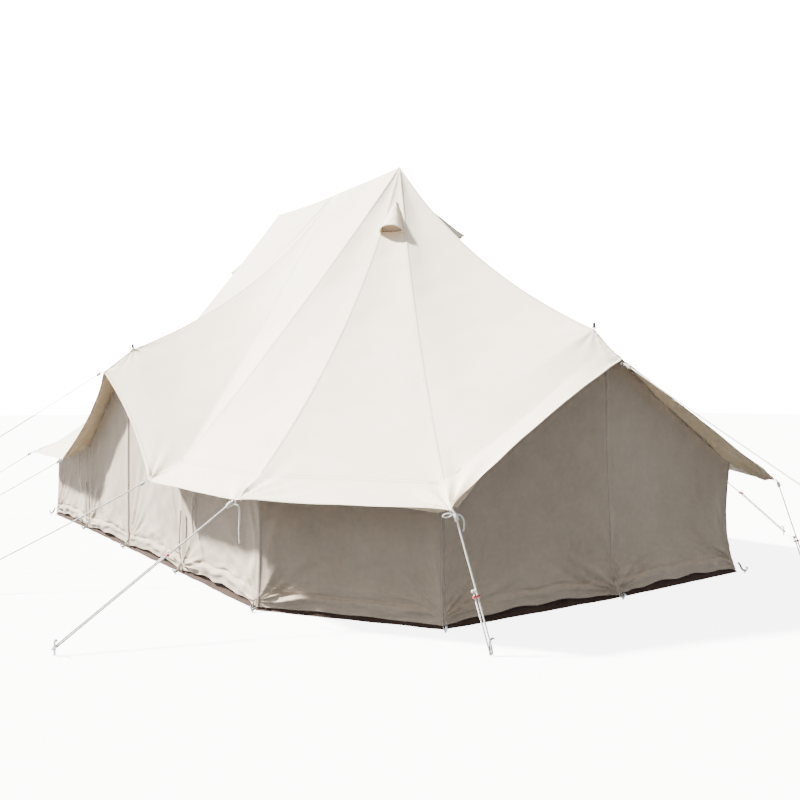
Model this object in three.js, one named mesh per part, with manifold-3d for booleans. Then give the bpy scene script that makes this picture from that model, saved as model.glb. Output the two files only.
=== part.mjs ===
// A twin-pole bell tent. Millimetres, +Z up. The origin is on the ground at the middle of the tent,
// +X runs along the ridge to the right-hand end, and -Y is the front, with the first door.

import * as THREE from 'three';
import { mergeVertices } from 'three/addons/utils/BufferGeometryUtils.js';
import Module from 'manifold-3d';

const wasm = await Module();
wasm.setup();

// ---------- driving dimensions ----------

const APEX_HEIGHT = 3000; // roof over each centre pole
const POLE_X = 1055; // each centre pole, from the middle of the tent
const RIDGE_DIP = 22; // how far the ridge hangs down at the middle of the tent
const CANVAS = 6; // height given to one layer of canvas, with its hems and seams
const GAP = 1; // clear space between two pieces that touch
const FLOOR = 5; // thickness of the groundsheet
const FLOOR_MARGIN = 14; // groundsheet showing past the foot of the wall

// Corners of one quarter: the foot of the wall, and how far outside it the wall's top seam lies.
const DOOR_CORNER = { foot: new THREE.Vector2(1146, 1819), lean: 0 };
const SHOULDER_CORNER = { foot: new THREE.Vector2(2329, 1835), lean: -25 };
const END_CORNER = { foot: new THREE.Vector2(3225, 1235), lean: -45 };
const DOOR_WALL_Y = 1819; // the flat wall that the door is in
const END_MIDDLE = new THREE.Vector2(3262, 0); // foot of the end wall, pegged out in its middle

const WALL_TOP = 735; // height of the seam between wall and roof
const EAVE_HEIGHT = 624; // lower edge of the roof, at its corners
const EAVE_REACH = 227; // how far the eave's corners lie outside the foot of the wall

const END_FRAME_TOP = new THREE.Vector3(3090, 0, 1568); // where an A-frame lifts the end ridge
const DOOR_FRAME_TOP = new THREE.Vector3(0, 1790, 1540); // where an A-frame lifts the door ridge
const END_PEAK = new THREE.Vector3(3190, 0, 1473); // top of the end wall
const DOOR_PEAK = new THREE.Vector3(0, DOOR_WALL_Y, 1514); // top of the door wall
const END_TIP = new THREE.Vector3(3300, 0, 1358); // tip of the roof over each end
const DOOR_TIP = new THREE.Vector3(0, 2010, 1360); // tip of the roof over each door
const END_EAVE_BOW = 30; // how far an end's eave curves in between its tip and its corner
const DOOR_EAVE_BOW = 45; // the same over a door

const UNDER_ROOF = CANVAS + 2; // from the roof's upper face down to the top of the wall
const WALL_FOOT = FLOOR + GAP;
const WALL_THICKNESS = 5;

const ROOF_ROWS = 7; // rows of faces from the apex down to the wall seam
const SEAM_SAG = 180; // how far a seam of the round ends curves in towards the tent
const DOOR_SEAM_SAG = 25; // the same for the seams down to a door's corners
const END_RIDGE_SAG = 135;
const DOOR_RIDGE_SAG = 165;

const POLE_RADIUS = 19;
const POLE_JOINT = 1500; // height of the joint between a centre pole's two halves
const POLE_FOOT_RADIUS = 42;
const RIDGE_POLE_RADIUS = 14;
const RIDGE_POLE_HEIGHT = 2938;
const FRAME_TUBE_RADIUS = 12;
const FRAME_SPIKE_RADIUS = 4;
const FRAME_SPIKE_RISE = 40; // how far a spike stands out of the canvas
const FRAME_EYELET = 3; // clear space round a spike where it goes through the canvas
const FRAME_BLOCK = new THREE.Vector3(36, 36, 34); // the hinge block at the top of an A-frame
const FRAME_BLOCK_DROP = 62; // from the canvas down to the middle of that block
const END_FRAME_FOOT = { spread: 1130, lean: -50 }; // feet of its legs, from under the block
const DOOR_FRAME_FOOT = { spread: 1085, lean: 0 };

const DOOR_HINGE_FOOT = new THREE.Vector2(1100, 10); // slanting fold of a door flap, in its wall
const DOOR_HINGE_HEAD = new THREE.Vector2(12, 1400);
const ZIP_HALF_WIDTH = 5; // from the middle of a door to the free edge of each flap
const ZIP_FOOT = 110; // height of the slider when the door is closed
const ZIP_SLIDER = new THREE.Vector3(14, 8, 26);
const ZIP_PULL_DROP = 26;

const HOOD_START = 400; // vent hood, measured down the slope from the apex
const HOOD_END = 765;
const HOOD_HALF_WIDTH = 96;
const HOOD_RISE = 92;
const HOOD_FOLDS = 6; // flat faces round half its cone
const HOOD_TOP_SIZE = 0.08; // share of its width that is left at its closed upper end

const ROPE_RADIUS = 4;
const STRAND_GAP = 20; // between the two strands that go round a peg
const PEG_RADIUS = 5;
const PEG_LOOP_HEIGHT = 34; // where the rope goes round its peg
const PEG_RISE = 22; // straight steel above that, up to the hook
const PEG_BEND = 16;
const RUNNER = new THREE.Vector3(46, 18, 10);
const RUNNER_HOLE = 5.2;
const RING_REACH = 14; // from a corner of the canvas out to where its rope starts
const KNOT_ROOM = 30; // rope above the runner, up to its stopper knot

// Plan of the pegs of one quarter, and how far from its peg each guy line's runner stands.
const GUYS = {
  shoulder: { peg: new THREE.Vector2(2550, 2930), runner: 640 },
  end_corner: { peg: new THREE.Vector2(3670, 1320), runner: 230 },
  door_corner: { peg: new THREE.Vector2(960, 3200), runner: 300 },
};
const END_TIP_GUY = { peg: new THREE.Vector2(5640, 0), runner: 500 };
const DOOR_TIP_GUY = { peg: new THREE.Vector2(0, 4060), runner: 500 };

const QUARTERS = [
  { name: 'front_right', sx: 1, sy: -1 },
  { name: 'front_left', sx: -1, sy: -1 },
  { name: 'back_right', sx: 1, sy: 1 },
  { name: 'back_left', sx: -1, sy: 1 },
];

// ---------- materials ----------

const finish = (color, roughness, metalness = 0) =>
  new THREE.MeshStandardMaterial({ color, roughness, metalness });

const roofCanvas = () => finish('#efe9e0', 0.95);
const wallCanvas = () => finish('#b9b1a6', 0.95);
const groundsheetVinyl = () => finish('#5a4a42', 0.6);
const galvanisedSteel = () => finish('#a9abad', 0.4, 0.9);
const darkSteel = () => finish('#55595c', 0.5, 0.8);
const whiteRope = () => finish('#f2efe8', 0.9);
const redPlastic = () => finish('#b3232d', 0.45);
const zipMetal = () => finish('#6a5546', 0.45, 0.6);

// ---------- small tools ----------

const up = new THREE.Vector3(0, 0, 1);

/** A point over a spot of the plan. */
const over = (spot, z) => new THREE.Vector3(spot.x, spot.y, z);

/** The level direction from the pole line out to a spot. */
function outward(spot) {
  const nearest = THREE.MathUtils.clamp(spot.x, -POLE_X, POLE_X);
  return new THREE.Vector3(spot.x - nearest, spot.y, 0).normalize();
}

/** A geometry as a manifold solid. */
function solid(geometry) {
  const bare = geometry.clone();
  bare.deleteAttribute('normal');
  bare.deleteAttribute('uv');
  const merged = mergeVertices(bare, 1e-4);
  return new wasm.Manifold(new wasm.Mesh({
    numProp: 3,
    vertProperties: new Float32Array(merged.attributes.position.array),
    triVerts: new Uint32Array(merged.index.array),
  }));
}

/** A manifold solid as a geometry. */
function geometryOf(manifold) {
  const mesh = manifold.getMesh();
  const geometry = new THREE.BufferGeometry();
  geometry.setAttribute('position', new THREE.BufferAttribute(mesh.vertProperties, 3));
  geometry.setIndex(new THREE.BufferAttribute(mesh.triVerts, 1));
  return geometry;
}

const joined = (...geometries) => geometryOf(geometries.map(solid).reduce((a, b) => a.add(b)));
const cut = (geometry, tool) => geometryOf(solid(geometry).subtract(solid(tool)));

/** A round bar between two points. */
function bar(from, to, radius, sides = 12) {
  const along = to.clone().sub(from);
  const geometry = new THREE.CylinderGeometry(radius, radius, along.length(), sides);
  geometry.rotateX(Math.PI / 2);
  const turn = new THREE.Quaternion().setFromUnitVectors(up, along.clone().normalize());
  geometry.applyQuaternion(turn);
  geometry.translate(...from.clone().add(to).multiplyScalar(0.5).toArray());
  return geometry;
}

/** A route through chosen points, whose steps fall on the points themselves. */
class Route extends THREE.Curve {
  constructor(points) {
    super();
    this.points = points;
  }

  getPoint(t) {
    const place = t * (this.points.length - 1);
    const i = Math.min(Math.floor(place), this.points.length - 2);
    return this.points[i].clone().lerp(this.points[i + 1], place - i);
  }

  getPointAt(t) {
    return this.getPoint(t);
  }

  getSpacedPoints() {
    return this.points.map((point) => point.clone());
  }

  getTangentAt(t) {
    const i = Math.round(t * (this.points.length - 1));
    const before = this.points[Math.max(i - 1, 0)];
    const after = this.points[Math.min(i + 1, this.points.length - 1)];
    return after.clone().sub(before).normalize();
  }
}

/** A round tube through chosen points. */
function tube(points, radius, sides = 8) {
  const section = new THREE.Shape();
  for (let i = 0; i < sides; i += 1) {
    const angle = (i / sides) * 2 * Math.PI;
    const [x, y] = [radius * Math.cos(angle), radius * Math.sin(angle)];
    if (i === 0) section.moveTo(x, y);
    else section.lineTo(x, y);
  }
  section.closePath();
  return new THREE.ExtrudeGeometry(section, {
    steps: points.length - 1,
    extrudePath: new Route(points),
  });
}

/** A sheet of canvas, joined from panels that share their seams. */
class Sheet {
  constructor() {
    this.points = [];
    this.seen = new Map();
    this.faces = [];
  }

  place(point) {
    const key = point.toArray().map((value) => Math.round(value * 100)).join();
    if (!this.seen.has(key)) {
      this.seen.set(key, this.points.length);
      this.points.push(point);
    }
    return this.seen.get(key);
  }

  triangle(a, b, c) {
    if (a !== b && b !== c && c !== a) this.faces.push([a, b, c]);
  }

  /** A panel between two seams with as many points each. bend moves a point between them. */
  panel(left, right, columns, bend = (point) => point) {
    const rows = left.map((start, row) => {
      const line = [];
      for (let column = 0; column <= columns; column += 1) {
        const share = column / columns;
        line.push(this.place(bend(start.clone().lerp(right[row], share), row, share)));
      }
      return line;
    });
    for (let row = 0; row + 1 < rows.length; row += 1) {
      for (let column = 0; column < columns; column += 1) {
        const [a, b] = [rows[row][column], rows[row][column + 1]];
        const [c, d] = [rows[row + 1][column + 1], rows[row + 1][column]];
        this.triangle(a, d, c);
        this.triangle(a, c, b);
      }
    }
    return this;
  }

  /** The closed solid between the sheet and its copy moved by inside(point). */
  thicken(inside) {
    const count = this.points.length;
    const all = [...this.points, ...this.points.map((p) => p.clone().add(inside(p)))];
    const faces = [];
    const edges = new Map();
    for (const [a, b, c] of this.faces) {
      faces.push([a, b, c], [c + count, b + count, a + count]);
      for (const [from, to] of [[a, b], [b, c], [c, a]]) {
        if (!edges.delete(`${to},${from}`)) edges.set(`${from},${to}`, [from, to]);
      }
    }
    for (const [from, to] of edges.values()) {
      faces.push([from, to + count, to], [from, from + count, to + count]);
    }
    const geometry = new THREE.BufferGeometry();
    const numbers = all.flatMap((p) => p.toArray());
    geometry.setAttribute('position', new THREE.Float32BufferAttribute(numbers, 3));
    geometry.setIndex(faces.flat());
    return geometry;
  }
}

/** Puts a geometry made in the back right quarter into another quarter. */
function intoQuarter(geometry, { sx, sy }) {
  const moved = geometry.clone();
  moved.deleteAttribute('normal');
  moved.scale(sx, sy, 1);
  if (sx * sy < 0) {
    const flipped = moved.index ? moved : mergeVertices(moved);
    const index = flipped.index.array;
    for (let i = 0; i < index.length; i += 3) {
      [index[i], index[i + 1]] = [index[i + 1], index[i]];
    }
    return flipped;
  }
  return moved;
}

const tent = new THREE.Group();

function piece(name, geometry, material) {
  const flat = geometry.index ? geometry.toNonIndexed() : geometry;
  flat.computeVertexNormals();
  const mesh = new THREE.Mesh(flat, material);
  mesh.name = name;
  tent.add(mesh);
  return mesh;
}

// ---------- the lines that the canvas hangs on ----------

/** Points down a seam from top to foot, hanging in under its own straight line. */
function seam(top, foot, sag, rows) {
  const line = foot.clone().sub(top);
  const inside = new THREE.Vector3(line.x, line.y, 0).normalize().multiplyScalar(line.z);
  inside.z = -Math.hypot(line.x, line.y);
  inside.normalize();
  return Array.from({ length: rows + 1 }, (_, row) => {
    const share = row / rows;
    const depth = sag * 4 * share * (1 - share);
    return top.clone().addScaledVector(line, share).addScaledVector(inside, depth);
  });
}

const atWall = ({ foot, lean }, z) => over(foot, z)
  .addScaledVector(outward(foot), (lean * z) / WALL_TOP);
const eaveCorner = ({ foot }) => over(foot, EAVE_HEIGHT).addScaledVector(outward(foot), EAVE_REACH);

const apex = new THREE.Vector3(POLE_X, 0, APEX_HEIGHT);
const ridgeMiddle = new THREE.Vector3(0, 0, APEX_HEIGHT - RIDGE_DIP);

function cornerSeam(top, corner, sag) {
  return [...seam(top, atWall(corner, WALL_TOP), sag, ROOF_ROWS), eaveCorner(corner)];
}

const seams = {
  end: [...seam(apex, END_FRAME_TOP, END_RIDGE_SAG, ROOF_ROWS - 1), END_PEAK, END_TIP],
  endCorner: cornerSeam(apex, END_CORNER, SEAM_SAG),
  shoulder: cornerSeam(apex, SHOULDER_CORNER, SEAM_SAG),
  doorCorner: cornerSeam(apex, DOOR_CORNER, DOOR_SEAM_SAG),
  middle: cornerSeam(ridgeMiddle, DOOR_CORNER, DOOR_SEAM_SAG),
  door: [...seam(ridgeMiddle, DOOR_FRAME_TOP, DOOR_RIDGE_SAG, ROOF_ROWS - 1), DOOR_PEAK, DOOR_TIP],
};

// ---------- roof: four sewn quarters ----------

/** Moves a line off the planes where two quarters of the roof meet. */
const offMiddle = (line) => line.map((p) => p.clone().max(new THREE.Vector3(GAP / 2, GAP / 2, 0)));

function roofQuarter() {
  const end = offMiddle(seams.end);
  const door = offMiddle(seams.door);
  const fromTop = (line) => [end[0], ...line.slice(1)];
  const middle = [door[0], ...seams.middle.slice(1)];
  const bowed = (axis, deepest) => (point, row, share) => {
    const bow = row > ROOF_ROWS ? deepest * 4 * share * (1 - share) : 0;
    return point.setComponent(axis, point.getComponent(axis) - bow);
  };
  const sheet = new Sheet();
  sheet.panel(end, fromTop(seams.endCorner), 4, bowed(0, END_EAVE_BOW));
  sheet.panel(fromTop(seams.endCorner), fromTop(seams.shoulder), 2);
  sheet.panel(fromTop(seams.shoulder), fromTop(seams.doorCorner), 2);
  sheet.panel(fromTop(seams.doorCorner), middle, 2);
  sheet.panel(middle, door, 4, bowed(1, DOOR_EAVE_BOW));
  const shell = sheet.thicken(() => new THREE.Vector3(0, 0, -CANVAS));
  const holes = [END_FRAME_TOP, DOOR_FRAME_TOP].map((p) => {
    const reach = new THREE.Vector3(0, 0, 150);
    return bar(p.clone().sub(reach), p.clone().add(reach), FRAME_SPIKE_RADIUS + FRAME_EYELET);
  });
  return holes.reduce(cut, shell);
}

const roof = roofQuarter();
for (const quarter of QUARTERS) {
  piece(`roof_${quarter.name}`, intoQuarter(roof, quarter), roofCanvas());
}

// ---------- walls ----------

const inside = (p) => outward(p).multiplyScalar(-WALL_THICKNESS);
const wallEdge = (corner) => [
  atWall(corner, WALL_TOP - UNDER_ROOF),
  atWall(corner, WALL_FOOT),
];

/** A point of the door gable's flat wall, a distance from its middle and a height. */
const onDoorWall = (u, z) => new THREE.Vector3(u, DOOR_WALL_Y, z);

/** The height of the door's slanting fold, over a distance from the middle of the door. */
function foldHeight(u, shift) {
  const run = DOOR_HINGE_HEAD.clone().sub(DOOR_HINGE_FOOT);
  const slope = run.y / run.x;
  return DOOR_HINGE_FOOT.y + (u - DOOR_HINGE_FOOT.x) * slope + shift * Math.hypot(1, slope);
}

function sideWall() {
  const beside = [0, 0.5, 1].map((share) => {
    const u = THREE.MathUtils.lerp(GAP / 2, DOOR_HINGE_FOOT.x + 2 * GAP, share);
    return onDoorWall(u, Math.max(foldHeight(u, GAP), WALL_FOOT));
  });
  const corner = wallEdge(DOOR_CORNER);
  const peak = onDoorWall(GAP / 2, DOOR_PEAK.z - UNDER_ROOF);
  const shoulder = wallEdge(SHOULDER_CORNER);
  const shortOf = (points, others) => points.map((p, i) => {
    const back = others[i].clone().sub(p).setLength(GAP);
    return p.clone().add(back);
  });
  const sheet = new Sheet();
  sheet.panel([peak, ...corner], beside, 1);
  sheet.panel(shoulder, corner, 3);
  sheet.panel(shortOf(wallEdge(END_CORNER), shoulder), shoulder, 2);
  return sheet.thicken(inside);
}

function endWall() {
  const peak = END_PEAK.clone().setZ(END_PEAK.z - UNDER_ROOF);
  const foot = over(END_MIDDLE, WALL_FOOT);
  const half = (side) => {
    const edge = wallEdge(END_CORNER).map((p) => p.multiply(new THREE.Vector3(1, side, 1)));
    const middle = [peak, foot];
    return edge.map((p, i) => p.clone().add(middle[i].clone().sub(p).setLength(GAP)));
  };
  const sheet = new Sheet();
  sheet.panel([peak, foot], half(1), 3);
  sheet.panel(half(-1), [peak, foot], 3);
  return sheet.thicken(inside);
}

function doorFlap() {
  const edge = ZIP_HALF_WIDTH;
  const outer = DOOR_HINGE_FOOT.x - 2 * GAP;
  const low = WALL_FOOT + 3 * GAP;
  const sheet = new Sheet();
  sheet.panel(
    [onDoorWall(outer, low), onDoorWall(edge, low)],
    [onDoorWall(outer, low), onDoorWall(edge, foldHeight(edge, -GAP))],
    1,
  );
  return sheet.thicken(inside);
}

const wall = sideWall();
const flap = doorFlap();
for (const quarter of QUARTERS) {
  piece(`wall_${quarter.name}`, intoQuarter(wall, quarter), wallCanvas());
  piece(`door_flap_${quarter.name}`, intoQuarter(flap, quarter), wallCanvas());
}
const gable = endWall();
piece('end_wall_right', gable, wallCanvas());
piece('end_wall_left', intoQuarter(gable, { sx: -1, sy: 1 }), wallCanvas());

// ---------- zips ----------

/** The slider and its pull, closed at the foot of the right-hand flap's free edge. */
function zipSlider() {
  const { x: width, y: depth, z: height } = ZIP_SLIDER;
  const foot = onDoorWall(width / 2 + GAP, ZIP_FOOT);
  const slider = new THREE.BoxGeometry(width, depth, height);
  const pull = new THREE.BoxGeometry(width / 2, depth / 3, 2 * ZIP_PULL_DROP);
  pull.translate(0, depth / 4, -ZIP_PULL_DROP);
  const whole = joined(slider, pull);
  whole.translate(foot.x, foot.y + depth / 2 + 2 * GAP, foot.z);
  return whole;
}

piece('zip_slider_front', intoQuarter(zipSlider(), QUARTERS[0]), zipMetal());
piece('zip_slider_back', intoQuarter(zipSlider(), QUARTERS[2]), zipMetal());

// ---------- groundsheet ----------

function groundsheet() {
  const feet = [END_MIDDLE, END_CORNER.foot, SHOULDER_CORNER.foot, DOOR_CORNER.foot];
  const quarterLine = [...feet, new THREE.Vector2(0, DOOR_WALL_Y)].map((p) => {
    const out = outward(p).multiplyScalar(FLOOR_MARGIN);
    return new THREE.Vector2(p.x + out.x, p.y + out.y);
  });
  const turned = (line, sx, sy) => line.map((p) => new THREE.Vector2(p.x * sx, p.y * sy));
  const outline = [
    ...quarterLine,
    ...turned(quarterLine, -1, 1).reverse().slice(1),
    ...turned(quarterLine, -1, -1).slice(1),
    ...turned(quarterLine, 1, -1).reverse().slice(1, -1),
  ];
  return new THREE.ExtrudeGeometry(new THREE.Shape(outline), { depth: FLOOR, bevelEnabled: false });
}

piece('groundsheet', groundsheet(), groundsheetVinyl());

// ---------- centre poles and ridge pole ----------

function turnedPole(profile) {
  const outline = profile.map(([radius, z]) => new THREE.Vector2(radius, z));
  return new THREE.LatheGeometry(outline, 16).rotateX(Math.PI / 2);
}

const poleFoot = FLOOR + GAP;
const poleTop = APEX_HEIGHT - 24;
const sleeve = POLE_RADIUS + 3;
const lowerPole = turnedPole([
  [0, poleFoot],
  [POLE_FOOT_RADIUS, poleFoot],
  [POLE_FOOT_RADIUS, poleFoot + 6],
  [POLE_RADIUS, poleFoot + 12],
  [POLE_RADIUS, POLE_JOINT - 70],
  [sleeve, POLE_JOINT - 68],
  [sleeve, POLE_JOINT],
  [0, POLE_JOINT],
]);
const upperPole = turnedPole([
  [0, POLE_JOINT + GAP],
  [POLE_RADIUS, POLE_JOINT + GAP],
  [POLE_RADIUS, RIDGE_POLE_HEIGHT + RIDGE_POLE_RADIUS + 4],
  [5, poleTop],
  [0, poleTop],
]);
for (const [side, sign] of [['right', 1], ['left', -1]]) {
  const place = new THREE.Group();
  place.position.x = sign * POLE_X;
  tent.add(place);
  place.add(piece(`centre_pole_lower_${side}`, lowerPole, galvanisedSteel()));
  place.add(piece(`centre_pole_upper_${side}`, upperPole, galvanisedSteel()));
}

const ridgeEnd = new THREE.Vector3(POLE_X - POLE_RADIUS - GAP, 0, RIDGE_POLE_HEIGHT);
const ridgePole = bar(ridgeEnd.clone().setX(-ridgeEnd.x), ridgeEnd, RIDGE_POLE_RADIUS);
piece('ridge_pole', ridgePole, galvanisedSteel());

// ---------- A-frames: two legs, one with the hinge block and the spike that carries the canvas ----------

/** Legs of an A-frame that stands across the X axis, with its apex under the given point. */
function aFrame(top, { spread, lean }) {
  const middle = top.clone().setZ(top.z - FRAME_BLOCK_DROP);
  const foot = (side) => new THREE.Vector3(side * spread, lean, FLOOR + 9);
  const block = new THREE.BoxGeometry(...FRAME_BLOCK.toArray());
  block.translate(0, 0, middle.z);
  const spike = bar(
    new THREE.Vector3(0, 0, middle.z),
    new THREE.Vector3(0, 0, top.z + FRAME_SPIKE_RISE),
    FRAME_SPIKE_RADIUS,
    8,
  );
  const head = new THREE.Vector3(0, 0, middle.z);
  const first = joined(bar(foot(1), head.clone().setX(8), FRAME_TUBE_RADIUS), block, spike);
  const clear = FRAME_BLOCK.x / 2 + FRAME_TUBE_RADIUS;
  const second = bar(foot(-1), head.clone().setX(-clear), FRAME_TUBE_RADIUS);
  return [first, second];
}

const [endFirst, endSecond] = aFrame(END_FRAME_TOP, END_FRAME_FOOT);
for (const [side, sign] of [['right', 1], ['left', -1]]) {
  const put = (geometry) => {
    const moved = geometry.clone().rotateZ((sign * Math.PI) / 2);
    return moved.translate(sign * END_FRAME_TOP.x, 0, 0);
  };
  piece(`end_frame_${side}_hinged_leg`, put(endFirst), galvanisedSteel());
  piece(`end_frame_${side}_plain_leg`, put(endSecond), galvanisedSteel());
}
const [doorFirst, doorSecond] = aFrame(DOOR_FRAME_TOP, DOOR_FRAME_FOOT);
for (const [side, sign] of [['front', -1], ['back', 1]]) {
  const put = (geometry) => geometry.clone().translate(0, sign * DOOR_FRAME_TOP.y, 0);
  piece(`door_frame_${side}_hinged_leg`, put(doorFirst), galvanisedSteel());
  piece(`door_frame_${side}_plain_leg`, put(doorSecond), galvanisedSteel());
}

// ---------- vent hoods ----------

/** The point a distance down a line of points. */
function downLine(line, distance) {
  let left = distance;
  for (let i = 1; i < line.length; i += 1) {
    const step = line[i].distanceTo(line[i - 1]);
    if (left <= step) return line[i - 1].clone().lerp(line[i], left / step);
    left -= step;
  }
  return line[line.length - 1].clone();
}

/** A half cone of canvas with its open mouth down the slope, on the panel beside the end corner. */
function ventHood() {
  const middle = seams.endCorner.map((p, i) => p.clone().lerp(seams.shoulder[i], 0.5));
  const across = seams.endCorner[1].clone().sub(seams.shoulder[1]).normalize();
  const start = downLine(middle, HOOD_START);
  const down = downLine(middle, HOOD_END).sub(start);
  const rise = down.clone().cross(across).normalize();
  if (rise.z < 0) rise.negate();
  const point = (share, fold, shrink) => {
    const angle = (fold / HOOD_FOLDS) * Math.PI;
    const size = Math.max(share, HOOD_TOP_SIZE);
    return start.clone()
      .addScaledVector(down, share)
      .addScaledVector(across, (HOOD_HALF_WIDTH * size - shrink) * Math.cos(angle))
      .addScaledVector(rise, (HOOD_RISE * size - shrink) * Math.sin(angle) + 4 * GAP);
  };
  const shares = [0, 0.5, 1];
  const fold = (number) => shares.map((share) => point(share, number, 0));
  const sheet = new Sheet();
  for (let number = 0; number < HOOD_FOLDS; number += 1) {
    sheet.panel(fold(number), fold(number + 1), 1);
  }
  const inner = [];
  for (let number = 0; number <= HOOD_FOLDS; number += 1) {
    for (const share of shares) {
      inner[sheet.place(point(share, number, 0))] = point(share, number, WALL_THICKNESS);
    }
  }
  return sheet.thicken((p) => inner[sheet.place(p)].clone().sub(p));
}

const hood = ventHood();
for (const quarter of QUARTERS) {
  piece(`vent_hood_${quarter.name}`, intoQuarter(hood, quarter), roofCanvas());
}

// ---------- guy lines ----------

/** Where one guy line's parts are: its ring, its two strands and its peg. */
function guyPlan(tip, { peg, runner }) {
  const level = new THREE.Vector3(peg.x - tip.x, peg.y - tip.y, 0).normalize();
  const across = new THREE.Vector3(-level.y, level.x, 0);
  const ring = tip.clone().addScaledVector(level, RING_REACH);
  const foot = over(peg, PEG_LOOP_HEIGHT);
  const along = foot.clone().sub(ring).normalize();
  return { ring, foot, along, across, level, runner };
}

/** The rope: from its ring down to the peg, round it, and back up to its stopper knot. */
function guyRope({ ring, foot, along, across, level, runner }) {
  const half = STRAND_GAP / 2;
  const reach = (PEG_RADIUS + ROPE_RADIUS + 3) / along.dot(level);
  const turn = [0, 1, 2, 3, 4].map((i) => {
    const angle = (i / 4) * Math.PI;
    return foot.clone()
      .addScaledVector(across, half * Math.cos(angle))
      .addScaledVector(along, reach * Math.sin(angle));
  });
  const top = ring.clone().addScaledVector(across, half);
  const knot = foot.clone()
    .addScaledVector(across, -half)
    .addScaledVector(along, -runner - KNOT_ROOM);
  return tube([top, top.clone().lerp(turn[0], 0.5), ...turn, knot], ROPE_RADIUS);
}

/** The flat runner with a hole for each strand, standing at the upper end of the double part. */
function guyRunner({ foot, along, across, runner }) {
  const { x: length, y: height, z: thickness } = RUNNER;
  const outline = new THREE.Shape();
  const corner = height / 2;
  outline.absarc(length / 2 - corner, 0, corner, -Math.PI / 2, Math.PI / 2);
  outline.absarc(corner - length / 2, 0, corner, Math.PI / 2, (3 * Math.PI) / 2);
  outline.closePath();
  for (const side of [-1, 1]) {
    const hole = new THREE.Path();
    hole.absarc((side * STRAND_GAP) / 2, 0, RUNNER_HOLE, 0, 2 * Math.PI);
    outline.holes.push(hole);
  }
  const plate = new THREE.ExtrudeGeometry(outline, {
    depth: thickness,
    bevelEnabled: false,
    curveSegments: 6,
  });
  plate.translate(0, 0, -thickness / 2);
  const normal = along.clone().cross(across).normalize();
  plate.applyMatrix4(new THREE.Matrix4().makeBasis(across, normal, along));
  const at = foot.clone().addScaledVector(along, -runner);
  return plate.translate(...at.toArray());
}

/** The part of a hooked steel peg that stands above the ground. */
function guyPeg({ foot, across }) {
  const top = PEG_LOOP_HEIGHT + PEG_RISE;
  const base = foot.clone().setZ(0);
  const hook = [0, 1, 2, 3].map((i) => {
    const angle = (i / 3) * Math.PI * 0.7;
    return base.clone()
      .addScaledVector(across, PEG_BEND * (1 - Math.cos(angle)))
      .addScaledVector(up, top + PEG_BEND * Math.sin(angle));
  });
  return tube([base, base.clone().setZ(top / 2), ...hook], PEG_RADIUS);
}

function guyLine(name, tip, guy, whole) {
  const plan = guyPlan(tip, guy);
  piece(`guy_rope_${name}`, guyRope(plan), whiteRope());
  if (whole) {
    piece(`guy_runner_${name}`, guyRunner(plan), redPlastic());
    piece(`guy_peg_${name}`, guyPeg(plan), darkSteel());
  }
  return plan;
}

const inQuarter = (v, { sx, sy }) => (v.isVector3
  ? new THREE.Vector3(v.x * sx, v.y * sy, v.z)
  : new THREE.Vector2(v.x * sx, v.y * sy));
const SHOWN = ['shoulder_front_right', 'end_corner_front_right'];
const CORNER_OF = { shoulder: SHOULDER_CORNER, end_corner: END_CORNER, door_corner: DOOR_CORNER };
for (const quarter of QUARTERS) {
  for (const [place, guy] of Object.entries(GUYS)) {
    const name = `${place}_${quarter.name}`;
    const tip = inQuarter(eaveCorner(CORNER_OF[place]), quarter);
    guyLine(name, tip, { ...guy, peg: inQuarter(guy.peg, quarter) }, SHOWN.includes(name));
  }
}
for (const [side, sx, sy] of [['right', 1, 1], ['left', -1, 1]]) {
  const peg = inQuarter(END_TIP_GUY.peg, { sx, sy });
  guyLine(`end_tip_${side}`, inQuarter(END_TIP, { sx, sy }), { ...END_TIP_GUY, peg }, sx > 0);
}
for (const [side, sx, sy] of [['front', 1, -1], ['back', 1, 1]]) {
  const peg = inQuarter(DOOR_TIP_GUY.peg, { sx, sy });
  guyLine(`door_tip_${side}`, inQuarter(DOOR_TIP, { sx, sy }), { ...DOOR_TIP_GUY, peg }, sy < 0);
}

// ---------- free ends of rope at two corners ----------

const knotAt = (place) => {
  const out = outward(place.foot);
  const corner = eaveCorner(place).addScaledVector(out, 1).addScaledVector(up, -20);
  return { at: inQuarter(corner, QUARTERS[0]), out: inQuarter(out, QUARTERS[0]) };
};

/** A free end that leaves its knot sideways and then hangs. Steps are out along the side, and up. */
function ropeTail(place, steps) {
  const { at, out } = knotAt(place);
  const side = new THREE.Vector3(-out.y, out.x, 0);
  const points = steps.map(([aside, rise]) => at.clone()
    .addScaledVector(side, aside)
    .addScaledVector(up, rise));
  return tube(points, ROPE_RADIUS);
}

const SHOULDER_TAIL = [
  [0, 0], [10, 0], [20, -4], [27, -12], [30, -24], [31, -40], [31, -60],
  [30, -80], [29, -100], [28, -120], [28, -140], [29, -160], [30, -180], [31, -200],
];
const END_CORNER_TAIL = [
  [0, 0], [10, 2], [20, 4], [30, 4], [40, 1], [49, -5], [56, -14],
  [60, -25], [62, -37], [62, -50], [61, -62], [58, -74],
];
piece('rope_tail_shoulder', ropeTail(SHOULDER_CORNER, SHOULDER_TAIL), whiteRope());
piece('rope_tail_end_corner', ropeTail(END_CORNER, END_CORNER_TAIL), whiteRope());

export default tent;
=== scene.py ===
import math

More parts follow.
